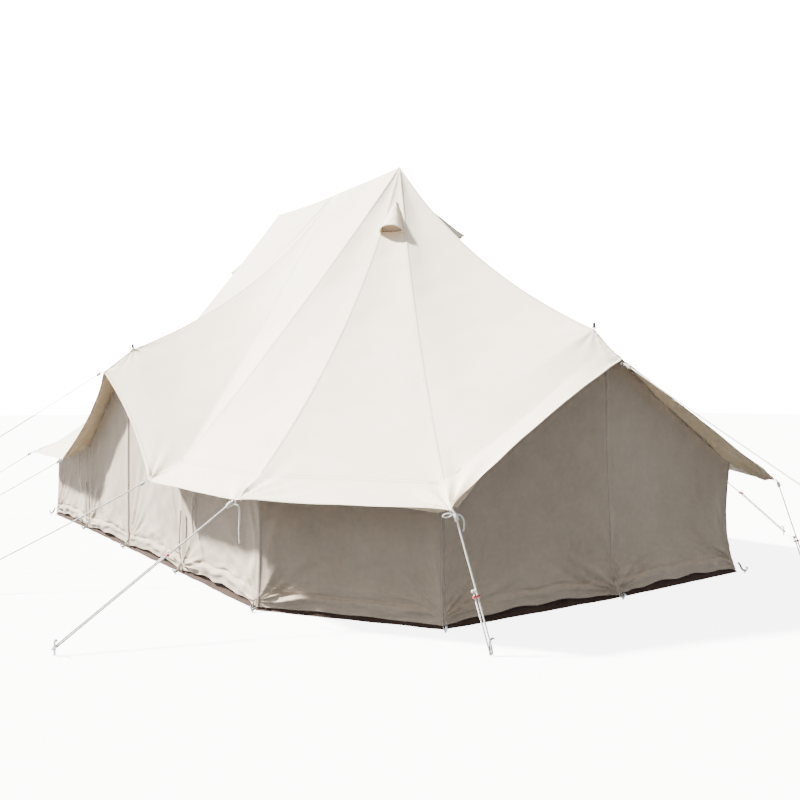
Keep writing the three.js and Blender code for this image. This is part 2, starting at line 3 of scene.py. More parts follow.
import bmesh
import bpy
import numpy as np
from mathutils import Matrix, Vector


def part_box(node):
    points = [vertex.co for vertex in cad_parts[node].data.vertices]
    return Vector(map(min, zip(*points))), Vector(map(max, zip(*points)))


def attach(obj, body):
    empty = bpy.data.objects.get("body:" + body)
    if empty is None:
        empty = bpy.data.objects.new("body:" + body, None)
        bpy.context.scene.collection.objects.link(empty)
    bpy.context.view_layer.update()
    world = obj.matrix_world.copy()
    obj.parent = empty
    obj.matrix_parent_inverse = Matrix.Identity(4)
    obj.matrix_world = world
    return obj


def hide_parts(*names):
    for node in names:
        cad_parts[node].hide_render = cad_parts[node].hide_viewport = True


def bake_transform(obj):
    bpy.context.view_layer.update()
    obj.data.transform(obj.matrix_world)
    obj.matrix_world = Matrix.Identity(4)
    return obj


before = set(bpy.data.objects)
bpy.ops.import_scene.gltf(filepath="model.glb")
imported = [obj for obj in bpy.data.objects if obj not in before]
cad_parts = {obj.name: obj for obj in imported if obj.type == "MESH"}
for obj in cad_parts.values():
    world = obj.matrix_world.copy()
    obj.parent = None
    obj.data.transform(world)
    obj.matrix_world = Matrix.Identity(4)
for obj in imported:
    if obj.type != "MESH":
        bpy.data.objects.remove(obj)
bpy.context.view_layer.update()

# ---------- Studio ----------
# A plain pale floor, a white surround that lights it mostly from the open side, and one soft sun
# high on the left, which leaves the walls under the eaves in shade.

FLOOR_COLOUR = "#F4F3F1"
FLOOR_HALF = 60  # half the side of the square floor
FLOOR_DROP = 0.0015  # keeps the floor just under the groundsheet
SUN_FROM = Vector((-0.80, -0.62, 0.95))  # towards the sun
SUN_POWER = 27.0
SUN_TINT = (1.0, 0.975, 0.93)
SUN_SOFTNESS = math.radians(5)
SKY_SEEN = 30.0  # how bright the surround looks behind the tent
SKY_TINT = (0.97, 0.98, 1, 1)
OPEN_SIDE = (-0.62, -0.50, 0.60)  # the side that the soft light comes from
CAMERA_AT = (6.548, -3.815, 1.153)
CAMERA_TURN = 0.9632  # in radians, anticlockwise from looking along +Y
CAMERA_NOD = -0.001  # in radians, down from level
CAMERA_LENS = 37.85


def colour(hex_code):
    """An sRGB hex value as a linear colour with alpha."""
    parts = [int(hex_code[i : i + 2], 16) / 255 for i in (1, 3, 5)]
    linear = [p / 12.92 if p <= 0.04045 else ((p + 0.055) / 1.055) ** 2.4 for p in parts]
    return (*linear, 1.0)


def add_node(tree, kind, inputs=None, **settings):
    """Adds a node with its settings, and sets or links each input that is named."""
    added = tree.nodes.new(kind)
    for name, value in settings.items():
        setattr(added, name, value)
    for name, value in (inputs or {}).items():
        if isinstance(value, bpy.types.NodeSocket):
            tree.links.new(value, added.inputs[name])
        else:
            added.inputs[name].default_value = value
    return added


def new_material(name):
    """An empty node material with its Principled shader, as (material, tree, shader)."""
    material = bpy.data.materials.new(name)
    material.use_nodes = True
    tree = material.node_tree
    tree.nodes.clear()
    shader = add_node(tree, "ShaderNodeBsdfPrincipled")
    add_node(tree, "ShaderNodeOutputMaterial", {"Surface": shader.outputs["BSDF"]})
    return material, tree, shader


def painted_floor():
    material, tree, shader = new_material("matt_painted_floor")
    shader.inputs["Base Color"].default_value = colour(FLOOR_COLOUR)
    shader.inputs["Roughness"].default_value = 0.9
    shader.inputs["Emission Color"].default_value = (1, 1, 1, 1)
    shader.inputs["Emission Strength"].default_value = 6.0
    return material


floor_mesh = bpy.data.meshes.new("floor")
floor_corners = [(x * FLOOR_HALF, y * FLOOR_HALF, 0) for x, y in ((-1, -1), (1, -1), (1, 1), (-1, 1))]
floor_mesh.from_pydata(floor_corners, [], [(0, 1, 2, 3)])
floor_mesh.materials.append(painted_floor())
floor = bpy.data.objects.new("floor", floor_mesh)
floor.location.z = -FLOOR_DROP
floor.visible_diffuse = False  # it throws no light up under the eaves
bpy.context.scene.collection.objects.link(floor)

world = bpy.data.worlds.new("studio")
world.use_nodes = True
sky_tree = world.node_tree
sky_tree.nodes.clear()
sky_seen = add_node(sky_tree, "ShaderNodeBackground", {"Color": (1, 1, 1, 1), "Strength": SKY_SEEN})
sky_place = add_node(sky_tree, "ShaderNodeTexCoord")
sky_parts = add_node(sky_tree, "ShaderNodeSeparateXYZ", {0: sky_place.outputs["Generated"]})
sky_side = add_node(
    sky_tree,
    "ShaderNodeVectorMath",
    {0: sky_place.outputs["Generated"], 1: OPEN_SIDE},
    operation="DOT_PRODUCT",
)
sky_bright = add_node(
    sky_tree, "ShaderNodeMapRange", {0: sky_side.outputs["Value"], 1: -0.5, 2: 1.0, 3: 0.28, 4: 1.6}
)
sky_level = add_node(
    sky_tree,
    "ShaderNodeMapRange",
    {0: sky_parts.outputs["Z"], 1: -0.08, 2: 0.08, 3: 0.12, 4: sky_bright.outputs[0]},
)
sky_light = add_node(
    sky_tree, "ShaderNodeBackground", {"Color": SKY_TINT, "Strength": sky_level.outputs[0]}
)
ray = add_node(sky_tree, "ShaderNodeLightPath")
sky = add_node(
    sky_tree,
    "ShaderNodeMixShader",
    {0: ray.outputs["Is Camera Ray"], 1: sky_light.outputs[0], 2: sky_seen.outputs[0]},
)
add_node(sky_tree, "ShaderNodeOutputWorld", {"Surface": sky.outputs[0]})
bpy.context.scene.world = world

sun_lamp = bpy.data.lights.new("sun", "SUN")
sun_lamp.energy = SUN_POWER
sun_lamp.angle = SUN_SOFTNESS
sun_lamp.color = SUN_TINT
sun = bpy.data.objects.new("sun", sun_lamp)
sun.rotation_euler = SUN_FROM.to_track_quat("Z", "Y").to_euler()
bpy.context.scene.collection.objects.link(sun)

camera_data = bpy.data.cameras.new("camera")
camera_data.lens = CAMERA_LENS
camera_data.sensor_width = 36
camera_data.clip_end = 400
camera = bpy.data.objects.new("camera", camera_data)
camera.location = CAMERA_AT
camera.rotation_euler = (math.pi / 2 + CAMERA_NOD, 0, CAMERA_TURN)
bpy.context.scene.collection.objects.link(camera)
bpy.context.scene.camera = camera

# ---------- Free ends of rope at two corners ----------
# White braided polyester guy rope, 8 mm thick. The end that is left over at the shoulder and at
# the end corner hangs from its knot, which is slipped, so that a loop lies on its other side.

ROPE = 0.008  # thickness of the guy ropes
POLE_X = 1.055  # centre poles, from the middle of the tent
EAVE_REACH = 0.227  # from the foot of the wall out to the corner of the eave
EAVE_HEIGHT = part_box("roof_front_right")[0].z + 0.006

# Plan of the corners of one quarter: the foot of the wall.
DOOR_CORNER = (1.146, 1.819)
SHOULDER_CORNER = (2.329, 1.835)
END_CORNER = (3.225, 1.235)
QUARTERS = {"front_right": (1, -1), "front_left": (-1, -1), "back_right": (1, 1), "back_left": (-1, 1)}

# Each free end: its length, and its steps, out along the side and up.
SHOULDER_TAIL = [
    (0, 0), (0.010, 0), (0.020, -0.004), (0.027, -0.012), (0.030, -0.024), (0.031, -0.040),
    (0.031, -0.060), (0.030, -0.080), (0.029, -0.100), (0.028, -0.120), (0.028, -0.140),
    (0.029, -0.160), (0.030, -0.180), (0.031, -0.200),
]
END_CORNER_TAIL = [
    (0, 0), (0.010, 0.002), (0.020, 0.004), (0.030, 0.004), (0.040, 0.001), (0.049, -0.005),
    (0.056, -0.014), (0.060, -0.025), (0.062, -0.037), (0.062, -0.050), (0.061, -0.062),
    (0.058, -0.074),
]


def unit(vector):
    return vector / np.linalg.norm(vector)


def outward(foot):
    """The level direction from the pole line out to a spot of the plan."""
    nearest = min(max(foot[0], -POLE_X), POLE_X)
    return unit(np.array([foot[0] - nearest, foot[1], 0.0]))


def over(spot, z):
    return np.array([spot[0], spot[1], z])


def eave_corner(foot):
    return over(foot, EAVE_HEIGHT) + outward(foot) * EAVE_REACH


def in_quarter(point, quarter):
    """A point of the back right quarter put into another quarter."""
    sx, sy = QUARTERS[quarter]
    return np.array(point) * np.array([sx, sy, 1.0])[: len(point)]


def smooth_route(points, step):
    """A curve through the points, resampled at about that step."""
    points = np.array(points, float)
    ends = np.vstack([2 * points[0] - points[1], points, 2 * points[-1] - points[-2]])
    route = []
    for a, b, c, d in zip(ends, ends[1:], ends[2:], ends[3:]):
        count = max(1, int(round(np.linalg.norm(c - b) / step)))
        t = np.arange(count)[:, None] / count
        route.append(
            0.5 * (2 * b + (c - a) * t + (2 * a - 5 * b + 4 * c - d) * t**2 + (3 * b - a - 3 * c + d) * t**3)
        )
    return np.vstack([*route, points[-1:]])


def tube(route, radius, sides=10, closed=False):
    """The points, faces and UVs, in metres, of a round tube along a route with rounded ends."""
    route = np.array(route, float)
    if closed:
        tangents = np.roll(route, -1, 0) - np.roll(route, 1, 0)
    else:
        tangents = np.gradient(route, axis=0)
    tangents /= np.linalg.norm(tangents, axis=1)[:, None]
    side = np.cross(tangents[0], [0, 0, 1.0])
    if np.linalg.norm(side) < 0.1:
        side = np.cross(tangents[0], [1.0, 0, 0])
    sides_of = []
    for tangent in tangents:
        side = unit(side - tangent * np.dot(side, tangent))
        sides_of.append(side)
    sides_of = np.array(sides_of)
    tops = np.cross(tangents, sides_of)
    steps = np.linalg.norm(np.diff(route, axis=0), axis=1)
    lengths = np.concatenate([[0], np.cumsum(steps)])
    angles = np.arange(sides) / sides * 2 * math.pi
    radii = np.full(len(route), radius)
    centres = route.copy()
    if not closed:
        reach = radius * 0.6
        centres = np.vstack([route[0] - tangents[0] * reach, route, route[-1] + tangents[-1] * reach])
        sides_of = np.vstack([sides_of[:1], sides_of, sides_of[-1:]])
        tops = np.vstack([tops[:1], tops, tops[-1:]])
        radii = np.concatenate([[radius * 0.55], radii, [radius * 0.55]])
        lengths = np.concatenate([[-reach], lengths, [lengths[-1] + reach]])
    rings = (
        centres[:, None]
        + sides_of[:, None] * (radii[:, None] * np.cos(angles))[..., None]
        + tops[:, None] * (radii[:, None] * np.sin(angles))[..., None]
    )
    points = rings.reshape(-1, 3)
    faces, uvs = [], []
    round_about = 2 * math.pi * radius / sides
    count = len(centres)
    for i in range(count if closed else count - 1):
        j = (i + 1) % count
        low = lengths[i]
        high = lengths[j] if j else lengths[i] + np.linalg.norm(route[0] - route[-1])
        for k in range(sides):
            n = (k + 1) % sides
            faces.append((i * sides + k, i * sides + n, j * sides + n, j * sides + k))
            uvs += [(k * round_about, low), ((k + 1) * round_about, low)]
            uvs += [((k + 1) * round_about, high), (k * round_about, high)]
    if not closed:
        faces.append(tuple(range(sides))[::-1])
        faces.append(tuple(range((count - 1) * sides, count * sides)))
        uvs += [(0, 0)] * (2 * sides)
    return points, faces, uvs


def merged(*parts):
    """Several (points, faces, UVs) as one."""
    points, faces, uvs = [], [], []
    for part_points, part_faces, part_uvs in parts:
        start = len(points)
        points += [tuple(p) for p in part_points]
        faces += [tuple(i + start for i in face) for face in part_faces]
        uvs += list(part_uvs)
    return points, faces, uvs


def make_piece(name, shape, material, body="tent", facts=None, smooth=True):
    """A mesh piece with its UVs, its material and its vertex facts, riding on a body."""
    points, faces, uvs = shape
    mesh = bpy.data.meshes.new(name)
    mesh.from_pydata([tuple(p) for p in points], [], faces)
    layer = mesh.uv_layers.new(name="metres")
    layer.data.foreach_set("uv", np.array(uvs, np.float32).ravel())
    for fact, values in (facts or {}).items():
        attribute = mesh.attributes.new(fact, "FLOAT", "POINT")
        attribute.data.foreach_set("value", np.array(values, np.float32))
    mesh.materials.append(material)
    if smooth:
        mesh.shade_smooth()
    piece = bpy.data.objects.new(name, mesh)
    bpy.context.scene.collection.objects.link(piece)
    if body:
        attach(piece, body)
    return piece


def braided_polyester():
    """Braided polyester: matt white, with small slanting plaits and painted shade in the grooves between
    them.
    """
    material, tree, shader = new_material("braided_polyester_rope")
    plait = 0.004  # length of one plait along the rope
    place = add_node(tree, "ShaderNodeUVMap", uv_map="metres")
    turned = [
        add_node(
            tree,
            "ShaderNodeMapping",
            {"Vector": place.outputs["UV"], "Rotation": (0, 0, math.radians(angle))},
        )
        for angle in (35, -35)
    ]
    plaits = [
        add_node(
            tree,
            "ShaderNodeTexWave",
            {"Vector": mapping.outputs["Vector"], "Scale": math.pi / (10 * plait), "Distortion": 0.4},
            bands_direction="Y",
        )
        for mapping in turned
    ]
    woven = add_node(
        tree,
        "ShaderNodeMath",
        {0: plaits[0].outputs["Fac"], 1: plaits[1].outputs["Fac"]},
        operation="MAXIMUM",
    )
    soil = add_node(tree, "ShaderNodeTexNoise", {"Vector": place.outputs["UV"], "Scale": 9.0, "Detail": 3.0})
    dirt = add_node(
        tree, "ShaderNodeMixRGB", {0: soil.outputs["Fac"], 1: colour("#FFFDF8"), 2: colour("#F2EEE6")}
    )
    # Painted shade: the grooves between the plaits get the darker colour.
    shade = add_node(
        tree, "ShaderNodeMixRGB", {0: woven.outputs[0], 1: colour("#DAD6CD"), 2: dirt.outputs[0]}
    )
    bump = add_node(
        tree, "ShaderNodeBump", {"Height": woven.outputs[0], "Strength": 0.6, "Distance": 0.0006}
    )
    tree.links.new(shade.outputs[0], shader.inputs["Base Color"])
    tree.links.new(bump.outputs[0], shader.inputs["Normal"])
    shader.inputs["Roughness"].default_value = 0.75
    shader.inputs["Sheen Weight"].default_value = 0.2
    return material


rope_braid = braided_polyester()


def rope_tail(name, foot, steps):
    """One free end: it leaves its knot sideways and then hangs."""
    out = in_quarter(outward(foot), "front_right")
    knot = in_quarter(eave_corner(foot), "front_right") + out * 0.001 + [0, 0, -0.020]
    side = np.array([-out[1], out[0], 0.0])
    points = [knot + side * aside + np.array([0, 0, rise]) for aside, rise in steps]
    route = smooth_route(points, 0.003)
    piece = make_piece(f"free_{name}", tube(route, ROPE / 2, sides=12), rope_braid)
    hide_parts(name)
    return piece


def bow_loop(name, foot, reach):
    """The loop of the slipped knot, which lies out flat on the other side from the free end."""
    out = in_quarter(outward(foot), "front_right")
    knot = in_quarter(eave_corner(foot), "front_right") + out * 0.016 + [0, 0, -0.016]
    side = np.array([out[1], -out[0], 0.0])
    turns = np.linspace(0, 2 * math.pi, 36, endpoint=False)
    points = [
        knot
        + side * (reach * (1 - math.cos(t)) / 2)
        + np.array([0, 0, 0.009 * math.sin(t) - 0.006 * (1 - math.cos(t)) / 2])
        + out * (0.003 * math.sin(2 * t))
        for t in turns
    ]
    return make_piece(name, tube(points, ROPE * 0.36, sides=10, closed=True), rope_braid)


bow_loop("bow_loop_shoulder", SHOULDER_CORNER, 0.030)
bow_loop("bow_loop_end_corner", END_CORNER, 0.042)
rope_tail("rope_tail_shoulder", SHOULDER_CORNER, SHOULDER_TAIL)
rope_tail("rope_tail_end_corner", END_CORNER, END_CORNER_TAIL)

# ---------- Roof ----------
# One skin of cream cotton canvas over both poles and the short ridge between them, sewn from
# twenty panels. It is drawn tight to its corner ropes, so each panel hollows between its seams.

APEX_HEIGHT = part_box("roof_front_right")[1].z
RIDGE_DIP = 0.022
WALL_TOP = 0.735  # the seam between roof and wall
SHOULDER_LEAN = -0.025  # how far outside its foot the wall's top lies
END_LEAN = -0.045
END_FRAME_TOP = np.array([3.090, 0, 1.568])
DOOR_FRAME_TOP = np.array([0, 1.790, 1.540])
END_PEAK = np.array([3.190, 0, 1.473])
DOOR_PEAK = np.array([0, 1.819, 1.514])
END_TIP = np.array([3.300, 0, 1.378])
DOOR_TIP = np.array([0, 2.010, 1.360])
END_EAVE_BOW = 0.030  # how far an end's eave curves in between its tip and its corner
DOOR_EAVE_BOW = 0.045  # the same over a door
END_WALL_SAG = np.array([-0.008, 0, -0.018])  # how far the seam over an end wall hangs in and down
SEAM_SAG = 0.180
DOOR_SEAM_SAG = 0.025
END_RIDGE_SAG = 0.135
DOOR_RIDGE_SAG = 0.165
ROOF_ROWS = 7  # the wall seam is at row 7 and the eave at row 8
FRAME_ROW = 6  # the A-frame's spike comes through at row 6
SEAM_HALF = 0.012  # half the width of a felled seam
CANVAS = 0.0014  # thickness of the canvas with its proofing
# Pleats at each roped corner: their depth, and how closely they stand.
CORNER_PLEATS = ((END_CORNER, 0.032, 15), (SHOULDER_CORNER, 0.016, 13), (DOOR_CORNER, 0.011, 10))
LEANS = {DOOR_CORNER: 0.0, SHOULDER_CORNER: SHOULDER_LEAN, END_CORNER: END_LEAN}


def at_wall(foot, z):
    return over(foot, z) + outward(foot) * LEANS[foot] * z / WALL_TOP


def sagging(top, foot, sag, share):
    """Points at these shares of the way down a seam that hangs in under its straight line."""
    line = foot - top
    level = unit(line * [1, 1, 0])
    inside = unit(level * line[2] + np.array([0, 0, -np.hypot(line[0], line[1])]))
    share = share[:, None]
    return top + line * share + inside * (sag * 4 * share * (1 - share))


def joined_line(rows, stops, start):
    """Points by row along straight stretches between stops, one row apart."""
    places = np.arange(len(stops)) + start
    return np.stack([np.interp(rows, places, [stop[i] for stop in stops]) for i in range(3)], 1)


def seam_to_corner(top, foot, sag, rows):
    wall_seam = at_wall(foot, WALL_TOP)
    upper = sagging(top, wall_seam, sag, np.minimum(rows, ROOF_ROWS) / ROOF_ROWS)
    lower = joined_line(rows, [wall_seam, eave_corner(foot)], ROOF_ROWS)
    return np.where(rows[:, None] <= ROOF_ROWS, upper, lower)


def seam_over_frame(top, frame_top, peak, tip, sag, rows):
    upper = sagging(top, frame_top, sag, np.minimum(rows, FRAME_ROW) / FRAME_ROW)
    lower = joined_line(rows, [frame_top, peak, tip], FRAME_ROW)
    return np.where(rows[:, None] <= FRAME_ROW, upper, lower)


def length_along(points):
    steps = np.linalg.norm(np.diff(points, axis=0), axis=1)
    return np.concatenate([[0], np.cumsum(steps)])


def wander(points, wavelength, seed):
    """A smooth uneven swell from -1 to 1 over space, the same each time."""
    dice = np.random.default_rng(seed)
    total = np.zeros(len(points))
    waves = 9
    for _ in range(waves):
        direction = unit(dice.normal(size=3))
        length = wavelength * dice.uniform(0.6, 1.7)
        total += np.sin(points @ direction * (2 * math.pi / length) + dice.uniform(0, 2 * math.pi))
    return total / math.sqrt(waves)


class SewnCloth:
    """Cloth in panels that share their seams. Each point keeps its facts, such as its seam's distance."""

    def __init__(self):
        self.points, self.faces, self.uvs, self.facts = [], [], [], []
        self.count = 0

    def panel(self, points, across, along, **facts):
        """Adds a grid of points with its cloth coordinates, in metres."""
        rows, columns = points.shape[:2]
        index = np.arange(rows * columns).reshape(rows, columns)
        corners = [index[:-1, :-1], index[1:, :-1], index[1:, 1:], index[:-1, 1:]]
        quads = np.stack([c.ravel() for c in corners], 1)
        self.faces.append(quads + self.count)
        uv = np.stack([across.ravel(), along.ravel()], 1)
        self.uvs.append(uv[quads])
        self.points.append(points.reshape(-1, 3))
        facts["along"] = np.array(along)
        self.facts.append({name: values.ravel() for name, values in facts.items()})
        self.count += rows * columns

    def weld(self, outside):
        """Joins the panels where they meet, and turns the faces so that they look outside."""
        points = np.vstack(self.points)
        faces = np.vstack(self.faces)
        uvs = np.vstack(self.uvs)
        keys = np.round(points * 1e4).astype(np.int64)
        _, first, where = np.unique(keys, axis=0, return_index=True, return_inverse=True)
        self.at = points[first]
        self.fact = {
            name: np.concatenate([facts[name] for facts in self.facts])[first] for name in self.facts[0]
        }
        faces = where.ravel()[faces]
        a, b, c, d = (self.at[faces[:, i]] for i in range(4))
        normal = np.cross(c - a, d - b)
        middle = (a + b + c + d) / 4
        inwards = np.einsum("ij,ij->i", normal, outside(middle)) < 0
        faces[inwards] = faces[inwards][:, ::-1]
        uvs[inwards] = uvs[inwards][:, ::-1]
        normal[inwards] *= -1
        self.normal = np.zeros_like(self.at)
        for i in range(4):
            np.add.at(self.normal, faces[:, i], normal)
        self.normal /= np.maximum(np.linalg.norm(self.normal, axis=1), 1e-12)[:, None]
        self.quads, self.quad_uvs = faces, uvs
        return self

    def shape(self):
        faces, uvs = [], []
        for face, uv in zip(self.quads.tolist(), self.quad_uvs.tolist()):
            kept = [i for i in range(4) if face[i] != face[i - 1]]
            if len(kept) > 2:
                faces.append(tuple(face[i] for i in kept))
                uvs += [uv[i] for i in kept]
        return self.at, faces, uvs


def shares_across(width, columns, half):
    """Shares of a panel's width with close columns at each seam, so that the seam stands up."""
    close = np.array([0.0, half * 0.9, half * 1.15])
    even = np.linspace(0, 1, columns + 1)[1:-1]
    even = even - 0.7 * np.sin(2 * math.pi * even) / (2 * math.pi)
    rows = []
    for w in width:
        edge = np.minimum(close / max(w, 1e-6), np.array([0.0, 0.02, 0.035]))
        inner = edge[-1] + (1 - 2 * edge[-1]) * even
        rows.append(np.concatenate([edge, inner, 1 - edge[::-1]]))
    return np.array(rows)


def roof_rows():
    """Rows down the roof, with close ones at the wall seam and at the hem of the eave."""
    main = np.linspace(0, ROOF_ROWS, 113)[:-1]
    seam = ROOF_ROWS + np.array([-0.03, -0.022, 0.0, 0.045, 0.06])
    band = np.linspace(ROOF_ROWS + 0.12, ROOF_ROWS + 0.86, 12)
    hem = np.array([0.9, 0.915, 0.96, 1.0]) + ROOF_ROWS
    return np.unique(np.concatenate([main[main < ROOF_ROWS - 0.05], seam, band, hem]))


def ridge_line(share):
    """The top edge from the pole to the middle of the tent."""
    x = POLE_X * (1 - share)
    dip = RIDGE_DIP * (1 - (x / POLE_X) ** 2)
    return np.stack([x, np.zeros_like(x), APEX_HEIGHT - dip], -1)


def hanging_seam(share, rows):
    """How much of its sag the seam over an end wall has at each point: none at the eave or peak."""
    above = np.clip((rows - 3) / (ROOF_ROWS - 3), 0, 1) ** 2
    below = np.clip(ROOF_ROWS + 1 - rows, 0, 1)
    return 4 * share * (1 - share) * (above * below)[:, None]


def roof_panels(cloth, quarter):
    rows = roof_rows()
    apex = np.array([POLE_X, 0, APEX_HEIGHT])
    middle = np.array([0, 0, APEX_HEIGHT - RIDGE_DIP])
    end = seam_over_frame(apex, END_FRAME_TOP, END_PEAK, END_TIP, END_RIDGE_SAG, rows)
    end_corner = seam_to_corner(apex, END_CORNER, SEAM_SAG, rows)
    shoulder = seam_to_corner(apex, SHOULDER_CORNER, SEAM_SAG, rows)
    door_corner = seam_to_corner(apex, DOOR_CORNER, DOOR_SEAM_SAG, rows)
    middle_seam = seam_to_corner(middle, DOOR_CORNER, DOOR_SEAM_SAG, rows)
    door = seam_over_frame(middle, DOOR_FRAME_TOP, DOOR_PEAK, DOOR_TIP, DOOR_RIDGE_SAG, rows)
    # Each panel's two seams, its columns, the bow of its eave, and how far it hollows.
    plan = [
        (end, end_corner, 34, END_EAVE_BOW * np.array([1, 0, -1]), 0.020),
        (end_corner, shoulder, 24, None, 0.012),
        (shoulder, door_corner, 26, None, 0.014),
        (door_corner, middle_seam, 18, None, 0.010),
        (middle_seam, door, 34, DOOR_EAVE_BOW * np.array([0, 1, 0]), 0.016),
    ]
    past_seam = np.maximum(rows - ROOF_ROWS, 0)
    for number, (left, right, columns, bow, hollow) in enumerate(plan):
        width = np.linalg.norm(right - left, axis=1)
        share = shares_across(width, columns, SEAM_HALF)
        points = left[:, None] * (1 - share[..., None]) + right[:, None] * share[..., None]
        if number == 3:
            points[0] = ridge_line(share[0])
        if number == 0:
            points += END_WALL_SAG * hanging_seam(share, rows)[..., None]
        if bow is not None:
            points -= bow * (4 * share * (1 - share) * past_seam[:, None])[..., None]
        along = length_along(left)[:, None] * (1 - share) + length_along(right)[:, None] * share
        off_seam = np.minimum(share, 1 - share) * width[:, None]
        down = np.minimum(rows / ROOF_ROWS, 1)[:, None]
        depth = hollow * np.sin(math.pi * share) * np.sin(math.pi * down) ** 0.7
        row = np.broadcast_to(rows[:, None], share.shape)
        down_from_seam = np.where(rows > ROOF_ROWS, EAVE_REACH, 0.40) * np.abs(rows - ROOF_ROWS)
        above_hem = EAVE_REACH * np.abs(rows - ROOF_ROWS - 0.91) + SEAM_HALF
        stitched = above_hem if bow is not None else np.minimum(down_from_seam, above_hem)
        cloth.panel(
            in_quarter(points, quarter),
            share * width[:, None],
            along,
            seam=off_seam,
            hollow=depth,
            row=row,
            stitched=np.minimum(off_seam, stitched[:, None]),
            low=np.full(share.shape, float(bow is None)),
        )


def pleats(points, corner, out, reach, count, depth, seed):
    """Folds that fan in from a roped corner and die away over their reach."""
    away = points - corner
    distance = np.linalg.norm(away, axis=1)
    side = np.cross(out, [0, 0, 1.0])
    angle = np.arctan2(away @ side, -(away @ out))
    uneven = wander(np.stack([angle, distance * 0.6, 0 * angle], 1), 0.9, seed)
    fold = np.cos(angle * count + uneven * 1.6)
    fade = np.exp(-((distance / reach) ** 1.4)) * (1 - np.exp(-distance / 0.035))
    return depth * fold * fade


def roof_relief(cloth):
    """Moves the roof's points as the cloth does: seams, hems, hollows, pleats and creases."""
    at, fact = cloth.at, cloth.fact
    row, off = fact["row"], fact["seam"]
    lift = -fact["hollow"]
    lift += 0.0035 * wander(at, 0.85, 3) * np.clip(off / 0.15, 0, 1)
    lift += 0.0015 * wander(at, 0.26, 5) * np.clip(off / 0.10, 0, 1)
    seam_width = np.clip((SEAM_HALF * 1.15 - off) / (SEAM_HALF * 0.25), 0, 1)
    lift += 0.0012 * seam_width
    pucker = np.exp(-((off / 0.045) ** 2)) * (1 - seam_width)
    lift += 0.0011 * pucker * np.sin(fact["along"] * 2 * math.pi / 0.055 + 2 * wander(at, 0.3, 7))
    wall_seam = np.clip(1 - np.abs(row - ROOF_ROWS - 0.02) / 0.05, 0, 1)
    lift += 0.0025 * wall_seam * fact["low"] * np.clip(off / 0.03, 0, 1)
    hem = np.clip((row - ROOF_ROWS - 0.9) / 0.015, 0, 1)
    lift += 0.0025 * hem
    for quarter in QUARTERS:
        for foot, depth, count in CORNER_PLEATS:
            corner = in_quarter(eave_corner(foot), quarter)
            out = in_quarter(outward(foot), quarter)
            lift += pleats(at, corner, out, 0.24, count, depth, 11)
    for sign in (1, -1):
        for top in (END_FRAME_TOP * [sign, 1, 1], DOOR_FRAME_TOP * [1, sign, 1]):
            out = unit(top * [1, 1, 0])
            lift += pleats(at, top, out, 0.16, 9, 0.005, 17)
    for tip, out in (
        (END_TIP, [1.0, 0, 0]), (END_TIP * [-1, 1, 1], [-1.0, 0, 0]),
        (DOOR_TIP, [0, 1.0, 0]), (DOOR_TIP * [1, -1, 1], [0, -1.0, 0]),
    ):
        lift += pleats(at, tip, np.array(out), 0.14, 8, 0.005, 19)
    cloth.at = at + cloth.normal * lift[:, None]


